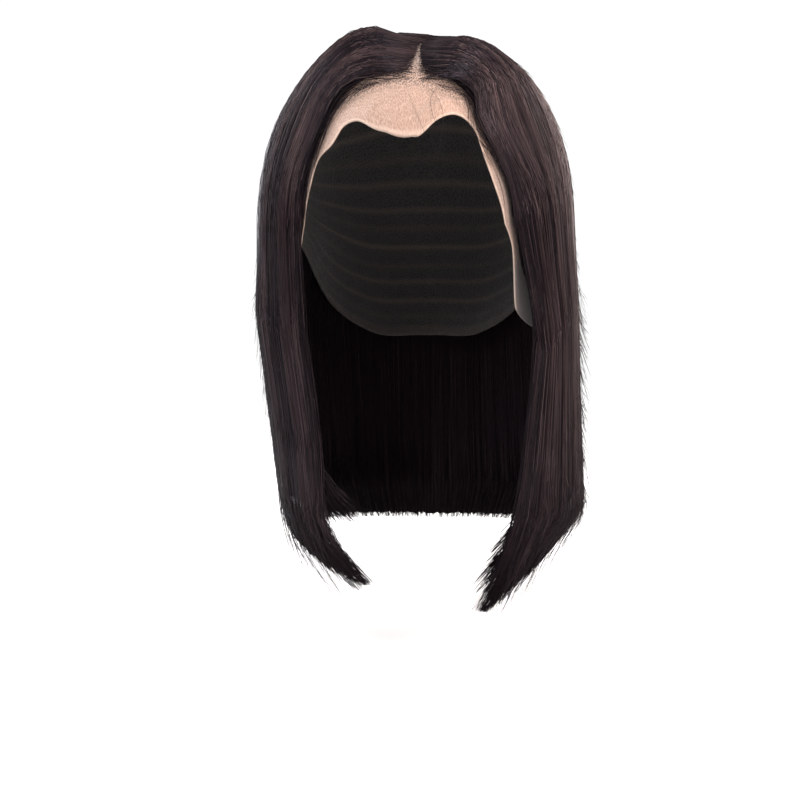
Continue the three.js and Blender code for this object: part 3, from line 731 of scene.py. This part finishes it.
# A few pale strands are painted highlight: thin light lines in place of glints
GLINT_STRAND_CHANCE, GLINT_STRAND_TINTS, MIDDLE_TINT, TINT_SPREAD, PLAIN_TINT = 0.08, (0.74, 0.92), 0.45, 0.14, 0.8
CROSSING_CHANCE, CROSSING_REACH, CROSSING_RUN = 0.22, 1.3, (0.0, 0.025)
CROWN_SPREAD, CROWN_SHARE, CROWN_DIMPLE, WHORL_RUN = 1.8, 0.52, 0.86, (0.0, 0.05)
GATHER, GATHER_FRONT, FIRST_PULL = 0.12, 0.55, 0.12
DRIFT, SWAY, RIPPLE = 0.007, 0.0018, 0.014
LOOSE_ROOTS, LOOSE_FRONT_ROOTS = 0.008, 0.016
LOCK_RIDGE, LOCK_STEP = 0.07, 0.06
STRAND_END, RAGGED, RAGGED_FRONT = 0.989, 0.006, 0.024
SHORT_CHANCE, SHORTEST = 0.25, 5.0
SPARSE_ROOTS, TIED_ON_CHANCE, TIED_ON_REACH = 0.026, 0.75, 0.36
DOME_STATIONS = 10
FALL_STATIONS = (0, 0.3, 0.6, 0.78, 0.9, 1)
LOCKS, FINE_LOCKS, THIN_LOCKS = 15, 70, 240
LOCK_SEED, FINE_SEED, THIN_SEED, INNER_SEED = 11, 31, 71, 51
LOCK_TINTS = [(LOCKS, LOCK_SEED, 0.12), (FINE_LOCKS, FINE_SEED, 0.3), (THIN_LOCKS, THIN_SEED, 0.55)]
TIP_FAN = 1.6
TIP_SWEEP = {1: 2.0, -1: 4.0}
TIP_RISE = {1: 0.0, -1: 3.0}


def stations(start, end):
    """Places along strands from start to end, closer on the dome and near the tips."""
    over = np.arange(DOME_STATIONS) / DOME_STATIONS
    down = lerp(LEVEL_SHARE, 1, np.array(FALL_STATIONS))
    places = np.concatenate([over * LEVEL_SHARE, down])
    places = np.broadcast_to(places, (len(start), len(places))).copy()
    gap = LEVEL_SHARE / DOME_STATIONS
    places[:, 1:-1] += random.uniform(-0.5, 0.5, (len(start), 1)) * gap
    return lerp(np.asarray(start)[:, None], np.asarray(end)[:, None], places)


def lock_of(share, locks, seed):
    """The middle of each strand's lock, the lock's random number, the strand's place across it."""
    chance = np.random.default_rng(seed)
    edges = (np.arange(locks + 1) + chance.uniform(-0.32, 0.32, locks + 1)) / locks
    edges[0], edges[-1] = -0.03, 1.03
    which = np.clip(np.searchsorted(edges, share) - 1, 0, locks - 1)
    middle = (edges[which] + edges[which + 1]) / 2
    half = (edges[which + 1] - edges[which]) / 2
    return middle, chance.uniform(0, 1, locks)[which], (share - middle) / half


def strand_paths(side, share, depth, start, end):
    """Strands that rise from the lace or cap, lie in locks and draw together towards the tips."""
    count = len(share)
    along = stations(start, end)
    _, broad, across = lock_of(share, LOCKS, LOCK_SEED + side)
    middle, fine, _ = lock_of(share, FINE_LOCKS, FINE_SEED + side)
    thin = lock_of(share, THIN_LOCKS, THIN_SEED + side)[1]
    gather = lerp(GATHER_FRONT, GATHER, smoothstep(share, *FRONT_LOCK_SHARES))[:, None]
    pull = gather * smoothstep(along, 0.5, 1.0) + FIRST_PULL * smoothstep(along, 0.05, 0.4)
    phase = random.uniform(0, 2 * math.pi, (count, 1))
    pace = random.uniform(3, 8, (count, 1))
    drift = random.normal(0, DRIFT, (count, 1)) * along
    sway = random.normal(0, SWAY, (count, 1)) * np.sin(pace * along * 2 + phase)
    own = along - np.asarray(start)[:, None]
    loose = lerp(LOOSE_FRONT_ROOTS, LOOSE_ROOTS, smoothstep(share, *ROOT_SHARES))[:, None]
    tied_in = random.normal(0, 1, (count, 1)) * loose * (1 - smoothstep(own, *CROWN_RUN))
    shares = middle[:, None] + (share - middle)[:, None] * (1 - pull) + drift + sway + tied_in
    dimple = lerp(CROWN_DIMPLE, 1, smoothstep(own, *CROWN_RUN))
    rise = lerp(smoothstep(own, 0.0, 0.07), dimple, crown_of(share)[:, None])
    rise = rise * crown_level(side, share[:, None], along)
    spread = smoothstep(along, 0.1, 0.4)
    ridge = LOCK_RIDGE * (1 - across**2) + LOCK_STEP * (broad - 0.5)
    ridge = ridge + LOCK_STEP * (fine - 0.5) + LOCK_STEP * (thin - 0.5) - LOCK_RIDGE
    ripple = random.normal(0, RIPPLE, (count, 1)) * np.sin(pace * along * 3 + 2 * phase)
    surface = SURFACE_DEPTH[side_name(side)](along)
    depths = (depth[:, None] + ridge[:, None] * spread + ripple) * surface * rise
    shares = shares + behind_hairline(share[:, None], along) * random.uniform(0.6, 1.0, (count, 1))
    path = hair_point(side, np.clip(shares, 0.0, 1.0), along, depths)
    crossing = random.uniform(0, 1, count) < CROSSING_CHANCE
    crossing = crossing * random.uniform(0, CROSSING_REACH, count) * PART_HALF_GAP
    crossing = crossing * (share < PART_SHARE)
    path[..., 0] -= side * crossing[:, None] * (1 - smoothstep(own, *CROSSING_RUN))
    whorl = random.normal(0, CROWN_SPREAD, (count, 1, 2)) * (share >= PART_SHARE)[:, None, None]
    path[..., :2] += whorl * (1 - smoothstep(own, *WHORL_RUN))[..., None]
    tip = smoothstep(along, *TIP_RUN) ** 2 * (1 - smoothstep(share, *TIP_SHARES))[:, None]
    path[..., 0] += side * (random.normal(0, TIP_FAN, (count, 1)) - TIP_SWEEP[side]) * tip
    path[..., 2] += TIP_RISE[side] * tip
    return path


def strand_radii(tints, length, scale=1.0):
    """Half thickness along each strand; the palest strands, painted highlight, are the thinnest."""
    run = np.linspace(0, 1, length)
    scale = scale * lerp(1, 0.65, smoothstep(tints, 0.7, 0.85))[:, None]
    taper = lerp(0.6, 1, smoothstep(run, 0, 0.04)) * lerp(1, 0.45, smoothstep(run, 0.8, 1))
    return random.uniform(0.7, 1.3, (len(tints), 1)) * STRAND_RADIUS * scale * taper[None, :]


def strand_tints(side, share):
    """Mostly dark strands, much alike within a lock, with a few pale ones that are painted
    highlight in place of glints.
    """
    tint = MIDDLE_TINT
    for locks, seed, weight in LOCK_TINTS:
        tint = tint + weight * (lock_of(share, locks, seed + side)[1] - 0.5)
    tint = tint + random.normal(0, TINT_SPREAD, len(share))
    # Painted highlight: pale strands in place of glints
    pale = random.uniform(0, 1, len(share)) < GLINT_STRAND_CHANCE
    return np.where(pale, random.uniform(*GLINT_STRAND_TINTS, len(share)), np.clip(tint, 0, PLAIN_TINT))


def tip_ends(share):
    """Where strands end: cut level at the sides and back, more ragged in the front locks."""
    ragged = lerp(RAGGED_FRONT, RAGGED, smoothstep(share, *FRONT_LOCK_SHARES))
    ends = STRAND_END + random.normal(0, 1, len(share)).clip(-2, 0.6) * ragged
    short = random.uniform(0, 1, len(share)) < SHORT_CHANCE
    return ends - short * random.uniform(0.0, SHORTEST, len(share)) * ragged


def root_starts(share):
    """Where strands start: at the parting, or near the front edge also along the hairline."""
    count = len(share)
    sparse = SPARSE_ROOTS * (1 - smoothstep(share, 0.0, 0.11)) * random.uniform(0, 1, count)
    edge = 1 - smoothstep(share, 0.0, 0.05)
    tied_on = random.uniform(0, 1, count) < TIED_ON_CHANCE * edge
    starts = random.uniform(0.0, 0.0015, count) + sparse
    return starts + tied_on * random.uniform(0, TIED_ON_REACH, count)


def outer_strands(name, *groups):
    """groups: side, count, first and last share."""
    paths, tints, shares = [], [], []
    for side, count, first, last in groups:
        share = lerp(first, last, (np.arange(count) + random.uniform(0, 1, count)) / count)
        kept = random.uniform(0, 1, count) < lerp(0.25, 1, smoothstep(share, 0, SOFT_HAIRLINE))
        share = share[kept]
        depth = lerp(*STRAND_DEPTHS, random.uniform(0, 1, len(share)) ** 0.6)
        paths.append(strand_paths(side, share, depth, root_starts(share), tip_ends(share)))
        tints.append(strand_tints(side, share))
        shares.append(share)
    paths, tints, shares = np.concatenate(paths), np.concatenate(tints), np.concatenate(shares)
    radii = strand_radii(tints, paths.shape[1])
    strand_piece(name, paths, radii, tints, shares > CROWN_SHARE)


outer_strands("hair_left_strands", (1, SIDE_STRANDS, 0.0, PART_SHARE))
outer_strands("hair_right_strands", (-1, SIDE_STRANDS, 0.0, PART_SHARE))
back_groups = [(side, BACK_STRANDS, PART_SHARE, 1.0) for side in (1, -1)]
outer_strands("hair_back_strands", *back_groups)


def inner_strands():
    """Strands on the inside of the falling hair, seen past the face and under the cap, darkened
    with painted shade.
    """
    paths, tints = [], []
    for side in (1, -1):
        share = random.uniform(0.02, 1.0, INNER_STRANDS)
        start = random.uniform(0.4, 0.5, INNER_STRANDS)
        along = lerp(start[:, None], tip_ends(share)[:, None], np.linspace(0, 1, 8)[None, :])
        middle, fine, _ = lock_of(share, FINE_LOCKS, INNER_SEED + side)
        pull = 0.15 * smoothstep(along, 0.6, 1.0)
        shares = share[:, None] + (middle - share)[:, None] * pull
        depths = random.uniform(0.0, 0.22, (INNER_STRANDS, 1)) + 0.1 * (fine[:, None] - 0.5)
        paths.append(hair_point(side, shares, along, depths))
        # Painted shade: the inner strands take 0.6 of the outer strands' tints, as hair in shade
        # inside the fall
        tints.append(0.6 * strand_tints(side, share))
    paths, tints = np.concatenate(paths), np.concatenate(tints)
    radii = strand_radii(tints, paths.shape[1], scale=INNER_SCALE)
    strand_piece("hair_inner_strands", paths, radii, tints)


inner_strands()

# Short locks: one inside each front lock, and a thin one over the left temple

TUFT_STRANDS, TEMPLE_STRANDS = {1: 420, -1: 340}, 150
TUFT_RUN = np.linspace(0, 1, 9)[None, :]
TUFT_SHARE, TUFT_DEPTH, TUFT_START = 0.1, 0.2, 0.64
TUFT_DROP = {1: 292.0, -1: 266.0}
TUFT_SPREAD = {1: 0.09, -1: 0.035}
TUFT_INWARD = {1: 15.0, -1: 26.0}
TEMPLE_Z, TEMPLE_SPAN, TEMPLE_BOW, TEMPLE_RUN = -128.0, 13.0, 4.5, (0.3, 0.64)


def tuft_paths(side, count):
    """A lock that ends above the hem and turns inwards."""
    hem = HEM_DROP[side_name(side)](TUFT_SHARE)
    end_run = (TUFT_DROP[side] + WIDEST_Z) / (hem + WIDEST_Z)
    spread = random.uniform(-1, 1, count)
    end = LEVEL_SHARE + (1 - LEVEL_SHARE) * end_run * (1 + TUFT_SPREAD[side] * spread)
    along = lerp(TUFT_START, end[:, None], TUFT_RUN)
    across = random.normal(0, 0.4, (count, 1)) * lerp(1, 0.55, TUFT_RUN)
    share = TUFT_SHARE + 0.075 * across
    depth = TUFT_DEPTH + random.normal(0, 0.1, (count, 1)) * lerp(1, 0.5, TUFT_RUN)
    path = hair_point(side, share, along, depth)
    turned_in = TUFT_INWARD[side] * TUFT_RUN**4
    path[..., 0] -= side * turned_in * random.uniform(0.3, 1.1, (count, 1))
    return path


def temple_paths(count):
    """Strands that bow inwards over the narrow part of the lace above the ear tab."""
    along = lerp(*TEMPLE_RUN, TUFT_RUN) + random.uniform(-0.02, 0.02, (count, 1))
    share = random.uniform(0.0, 0.05, (count, 1)) + behind_hairline(0 * along, along) * 0.8
    depth = random.uniform(0.7, 1.0, (count, 1)) * SURFACE_DEPTH["left"](along)
    path = hair_point(1, share, along, depth)
    bow = np.exp(-(((path[..., 2] - TEMPLE_Z) / TEMPLE_SPAN) ** 2))
    path[..., 0] -= TEMPLE_BOW * bow * random.uniform(0.3, 1.1, (count, 1))
    return path


tufts = [tuft_paths(side, count) for side, count in TUFT_STRANDS.items()]
tufts = np.concatenate([*tufts, temple_paths(TEMPLE_STRANDS)])
# Painted shade: darker tints than the outer strands for the tufts inside the front locks; the
# temple strands take the same tints
shaded_tuft_tints = np.clip(random.normal(0.25, 0.12, len(tufts)), 0, 1)
tuft_radii = strand_radii(shaded_tuft_tints, tufts.shape[1])
strand_piece("hair_tufts", tufts, tuft_radii, shaded_tuft_tints)

# Single hairs that stand off the mass, and short hairs on the lace in front of the hairline

FLYAWAYS, FLYAWAY_REACH = {1: 420, -1: 280}, {1: 8.0, -1: 4.5}
WISPS, BABY_HAIRS, STRAYS = 120, 150, 4
LOOSE_SCALE, SHORT_SCALE = 0.5, 0.48
LONE_RUN = np.linspace(0, 1, 8)[None, :]


def flyaway_paths(side, count, reach):
    """Hairs that part from the sides and the back, most of them low down."""
    share = np.where(random.uniform(0, 1, count) < 0.65, 0.42, 0.55)
    share = (share + random.normal(0, 0.07, count) * np.where(share < 0.5, 1, 3)).clip(0.1, 0.95)
    low = random.uniform(0, 1, count) < 0.8
    start = np.where(low, random.uniform(0.5, 0.95, count), random.uniform(0.12, 0.5, count))
    length = random.uniform(0.02, 0.09, count)
    along = lerp(start[:, None], np.minimum(start + length, 1.02)[:, None], LONE_RUN)
    bend = random.normal(0, 0.012, (count, 1)) * LONE_RUN**2
    path = hair_point(side, share[:, None] + bend, along, SURFACE_DEPTH[side_name(side)](along))
    out = path - np.array([0, 0, WIDEST_Z])
    out[..., 2] *= 0.1
    out /= np.linalg.norm(out, axis=-1, keepdims=True)
    stand = random.uniform(0.5, reach, (count, 1)) * lerp(0.4, 1, low)[:, None] * LONE_RUN**1.4
    return path + out * stand[..., None]


def baby_hair_paths(count):
    """Short hairs that lie on the lace before the hairline."""
    side = np.where(random.uniform(0, 1, count) < 0.5, 1, -1)
    start = random.uniform(0.035, 0.3, count)
    path = np.zeros((count, LONE_RUN.size, 3))
    for sign in (1, -1):
        rows = side == sign
        lean = random.uniform(0.02, 0.16, (rows.sum(), 1))
        along = start[rows][:, None] + lean * LONE_RUN
        share = random.uniform(0.5, 1.2, (rows.sum(), 1)) * behind_hairline(0 * along, along)
        root = hair_point(sign, share, along, 0 * along)
        reach = random.uniform(0, 1, (rows.sum(), 1)) ** 2 * 12
        root[..., 1] -= reach * np.sin(LONE_RUN * random.uniform(1.0, 2.4, (rows.sum(), 1)))
        path[rows] = on_head(root, 1.6 + 1.2 * np.sin(LONE_RUN * 2.4))
    return path


def stray_paths(count):
    """A few long hairs that have slipped forward over the lace."""
    turn, y = random.uniform(-0.25, 0.3, count), random.uniform(-80, -74, count)
    root = head_at_turn(turn, y, 2.0)[:, None, :]
    sideways = random.uniform(-14, 14, (count, 1)) * LONE_RUN
    sideways = sideways + random.uniform(-9, 9, (count, 1)) * np.sin(4 * LONE_RUN)
    down = random.uniform(18, 50, (count, 1)) * LONE_RUN**1.3
    path = root + points(sideways, -14 * LONE_RUN, -down)
    return on_head(path, 2.0 + 1.0 * np.sin(math.pi * LONE_RUN))


def wisp_paths(side, count):
    """Thin ends that hang a little longer than the front lock's cut."""
    share = random.uniform(0.0, 0.44, count)[:, None]
    along = lerp(0.86, random.uniform(0.95, 1.01, (count, 1)), LONE_RUN)
    bend = random.normal(0, 0.02, (count, 1)) * LONE_RUN**2
    depth = random.uniform(0.35, 0.7, (count, 1)) + 0 * along
    path = hair_point(side, np.clip(share + bend, 0, 1), along, depth)
    out, ahead = side * random.uniform(-1, 4, count), random.normal(0, 2, count)
    stray = points(out, ahead, random.uniform(-11, -2, count))
    return path + stray[:, None, :] * LONE_RUN[..., None] ** 2


def lone_hairs():
    """All the single hairs, in one piece."""
    loose = [flyaway_paths(side, count, FLYAWAY_REACH[side]) for side, count in FLYAWAYS.items()]
    thin = np.concatenate([*loose, wisp_paths(1, WISPS), wisp_paths(-1, WISPS)])
    short = np.concatenate([baby_hair_paths(BABY_HAIRS), stray_paths(STRAYS)])
    paths = np.concatenate([thin, short])
    tints = np.clip(random.normal(0.4, 0.15, len(paths)), 0, 1)
    scale = np.where(np.arange(len(paths)) < len(thin), LOOSE_SCALE, SHORT_SCALE)[:, None]
    radii = strand_radii(tints, paths.shape[1], scale)
    strand_piece("hair_lone_strands", paths, radii, tints)


lone_hairs()

# Lace front

LACE_ACROSS, LACE_DEEP = 260, 42
LACE_THICK, RIM_WIDTH = 0.5, 0.6
TAB_END_FRONT, TAB_END_REAR = 1.72, 2.0
LACE_SPAN, LACE_LIFT = 118.0, 0.35
LACE_ROW_POWER, TAB_SLANT_POWER = 1.5, 0.4
HAIRLINE_Y, HAIRLINE_SIDE_Y = -76.0, -70.0
# Weights of painted shade on the lace: side strips, free ear tab (also dark hair seen through it),
# parting, under the hair
SIDE_SHADE, TAB_SEE_THROUGH_AND_SHADE, PARTING_SHADE, SHADE_UNDER_HAIR = 0.42, 0.5, 0.35, 0.28
CREASE_WIDTH = 2.2

# Soft creases: across and y where each starts, across and y where it ends, and its height
CREASES = [
    (14, -89, 42, -75, 1.5),
    (27, -90, 48, -77, 1.1),
    (-40, -84, -22, -80, 0.7),
]


def lace_at(turn, y, offset):
    """Points of the lace on the head form, with the left ear tab turned away from the head."""
    p = head_at_turn(turn, y, offset)
    front, rear = LACE_EDGE["front"](turn), LACE_EDGE["rear"](turn)
    across = (y - front) / (rear - front)
    p[..., 0] += lerp(TAB_TURN_FRONT, TAB_TURN_REAR, across) * smoothstep(turn, TAB_FREE, LACE_ENDS)
    return p


def crease_height(across, y, across_1, y_1, across_2, y_2, height):
    """Height of a soft crease along a line over the lace."""
    run = np.array([across_2 - across_1, y_2 - y_1], float)
    length = np.linalg.norm(run)
    along = ((across - across_1) * run[0] + (y - y_1) * run[1]) / length**2
    off = ((across - across_1) * run[1] - (y - y_1) * run[0]) / length
    ends = smoothstep(along, -0.15, 0.2) * (1 - smoothstep(along, 0.8, 1.15))
    return height * np.exp(-((off / CREASE_WIDTH) ** 2)) * ends


def make_lace():
    """The lace as a thin closed wall, with its rim, knots, painted shade, and dark hair seen
    through the ear tab.
    """
    turn = np.linspace(-LACE_ENDS, LACE_ENDS, LACE_ACROSS)[:, None]
    share = np.linspace(0, 1, LACE_DEEP)[None, :] ** LACE_ROW_POWER
    free = np.maximum(0, np.abs(turn) - TAB_FREE) / (LACE_ENDS - TAB_FREE)
    slant = lerp(TAB_END_FRONT, TAB_END_REAR, share**TAB_SLANT_POWER) - LACE_ENDS
    turn = turn + np.sign(turn) * free * slant
    front, rear = LACE_EDGE["front"](turn), LACE_EDGE["rear"](turn) - SEAM_GAP
    y = lerp(front, rear, share)
    back = y - front
    rim = 1 - smoothstep(back, RIM_WIDTH * 0.5, RIM_WIDTH)
    lift = LACE_LIFT + sum(crease_height(turn * LACE_SPAN, y, *crease) for crease in CREASES)
    lift = lerp(LACE_LIFT, lift, smoothstep(back, 0, 3))
    inner = lace_at(turn, y, lift)
    outer = lace_at(turn, y, lift + LACE_THICK)
    away = np.abs(turn)
    hairline = lerp(HAIRLINE_Y, HAIRLINE_SIDE_Y, smoothstep(away, 0.1, 0.8))
    tied = smoothstep(y, hairline - 1.5, hairline + 4)
    tied = tied * (1 - 0.85 * smoothstep(away, 0.35, 0.6))
    # Painted shade: darker at the side strips, along the parting between the parted hair and under
    # the hair; on the free ear tab painted shade and dark hair seen through it
    see_through_and_shade = SIDE_SHADE * smoothstep(away, 0.6, 0.95) + TAB_SEE_THROUGH_AND_SHADE * smoothstep(turn, 1.12, 1.5)
    parting = smoothstep(y, -72, -58) * (1 - smoothstep(away, 0.2, 0.4))
    shade_under_hair = smoothstep(back, 1, 7) * smoothstep(away, 0.5, 0.75)
    see_through_and_shade = see_through_and_shade + PARTING_SHADE * parting + SHADE_UNDER_HAIR * shade_under_hair
    flow = np.stack([turn * LACE_SPAN, y], -1).reshape(-1, 2)
    floats = {"rim": rim, "tied": tied, "see_through_and_shade": see_through_and_shade}
    floats = {name: np.stack([values, values]) for name, values in floats.items()}
    piece = wall_piece("lace", inner, outer, lace_material(), floats, np.concatenate([flow, flow]))
    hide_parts("lace_front")


make_lace()

# Cap

CAP_ACROSS, CAP_DEEP = 150, 70
WEFT_ROWS, WEFT_POWER, CAP_SPAN = 15, 6, 190
CAP_INNER, CAP_OUTER, WEFT_INWARD, WEFT_OUTWARD = 0.7, CAP_WALL - 0.2, 0.65, 0.15
CAP_HEM, CAP_HEM_HEIGHT = (0.955, 0.965), 0.5


def cap_at(turn, row, offset):
    """Points of the cap from its seam (row 0) down to its lower edge (row 1)."""
    seam = head_at_turn(turn, LACE_EDGE["rear"](turn), offset)
    bearing = lerp(180.0, CAP_EDGE[0][0], np.abs(turn))
    angle = np.radians(bearing)
    x = (HALF_WIDTH + offset) * np.abs(np.sin(angle)) ** (2 / POWER) * np.where(turn < 0, -1, 1)
    y = -(HALF_LENGTH + offset) * signed_power(np.cos(angle), 2 / POWER)
    plan = points(x * narrowing(y), y, WIDEST_Z)
    foot = row * (1 + (CAP_DROP(bearing) + WIDEST_Z) / CROWN_HEIGHT)
    dome = on_head(lerp(seam, plan, np.clip(foot, 0, 1)[..., None]), offset)
    below = np.maximum(0, foot - 1) * CROWN_HEIGHT
    drawn = 1 - NAPE_TAPER * smoothstep(bearing, 90, 150) * (below / NAPE_DROP) ** 2
    fall = plan * drawn[..., None]
    fall[..., 2] = WIDEST_Z - below
    return np.where((foot <= 1)[..., None], dome, fall)


def make_cap():
    """The cap as a closed wall, with rows of weft and a hem."""
    turn = np.linspace(-1, 1, CAP_ACROSS)[:, None] + np.zeros(CAP_DEEP)
    row = np.linspace(0, 1, CAP_DEEP)[None, :] + np.zeros((CAP_ACROSS, 1))
    weft = np.maximum(0, np.cos(row * WEFT_ROWS * 2 * math.pi)) ** WEFT_POWER
    hem = smoothstep(row, *CAP_HEM)
    weft = np.maximum(weft * (1 - hem), CAP_HEM_HEIGHT * hem)
    inner = cap_at(turn, row, CAP_INNER - WEFT_INWARD * weft)
    outer = cap_at(turn, row, CAP_OUTER + WEFT_OUTWARD * weft)
    flow = np.stack([turn * CAP_SPAN, row * CAP_SPAN], -1).reshape(-1, 2)
    floats = {"weft": np.stack([weft, weft])}
    flow = np.concatenate([flow, flow])
    piece = wall_piece("cap_net", inner, outer, cap_material(), floats, flow)
    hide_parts("cap")


make_cap()

# Stage: pale floor, soft light and the photo's camera

CAMERA_AZIMUTH, CAMERA_ELEVATION, CAMERA_DISTANCE = math.radians(6), math.radians(3), 1.0
CAMERA_TARGET = Vector((-0.00936, -0.00098, -0.205))
CAMERA_LENS, SENSOR_WIDTH = 76.5, 36
FLOOR_Z = cad_box[0].z - 0.03
FLOOR_REACH = 12.0
SKY_STRENGTH = 1.05
COOL_LIGHT, WARM_LIGHT = (0.95, 0.97, 1.0), (1.0, 0.86, 0.78)


def set_up(thing, place, direction):
    """Puts a camera or a lamp at a place, looking in a direction."""
    thing.location = place
    thing.rotation_mode = "QUATERNION"
    thing.rotation_quaternion = direction.to_track_quat("-Z", "Y")


def add_camera():
    data = bpy.data.cameras.new("camera")
    data.lens = CAMERA_LENS
    data.sensor_width = SENSOR_WIDTH
    data.clip_start, data.clip_end = 0.01, 50
    flat = math.cos(CAMERA_ELEVATION)
    across, ahead = math.sin(CAMERA_AZIMUTH), -math.cos(CAMERA_AZIMUTH)
    back = Vector((across * flat, ahead * flat, math.sin(CAMERA_ELEVATION)))
    camera = add_object("camera", data)
    set_up(camera, CAMERA_TARGET + back * CAMERA_DISTANCE, -back)
    bpy.context.scene.camera = camera


def add_light(name, place, aim, size, power, colour):
    data = bpy.data.lights.new(name, "AREA")
    data.shape = "RECTANGLE"
    data.size, data.size_y = size
    data.energy = power
    data.color = colour
    set_up(add_object(name, data), place, Vector(aim) - Vector(place))


def add_floor():
    reach = FLOOR_REACH
    corners = [(-reach, -reach), (reach, -reach), (reach, reach), (-reach, reach)]
    mesh = bpy.data.meshes.new("floor")
    mesh.from_pydata([(x, y, 0) for x, y in corners], [], [(0, 1, 2, 3)])
    mesh.materials.append(floor_material())
    floor = add_object("floor", mesh)
    floor.location.z = FLOOR_Z


def add_world():
    world = bpy.data.worlds.new("studio")
    world.use_nodes = True
    sky = world.node_tree.nodes["Background"]
    sky.inputs["Color"].default_value = (1, 1, 1, 1)
    sky.inputs["Strength"].default_value = SKY_STRENGTH
    bpy.context.scene.world = world
    bpy.context.scene.view_settings.view_transform = "Standard"


add_camera()
add_light("key", (-0.7, -1.3, 0.9), (0, 0, -0.12), (0.7, 0.7), 24, COOL_LIGHT)
add_light("fill", (1.25, -0.85, 0.6), (0, 0, -0.1), (0.6, 1.0), 31, WARM_LIGHT)
add_light("top", (0.32, -0.45, 1.05), (0, 0, 0), (0.5, 0.4), 13, COOL_LIGHT)
add_light("rim_left", (-1.25, 0.45, 0.4), (0, 0, -0.12), (0.3, 1.0), 30, COOL_LIGHT)
add_light("rim_right", (1.25, 0.45, 0.4), (0, 0, -0.12), (0.3, 1.0), 30, WARM_LIGHT)
add_floor()
add_world()
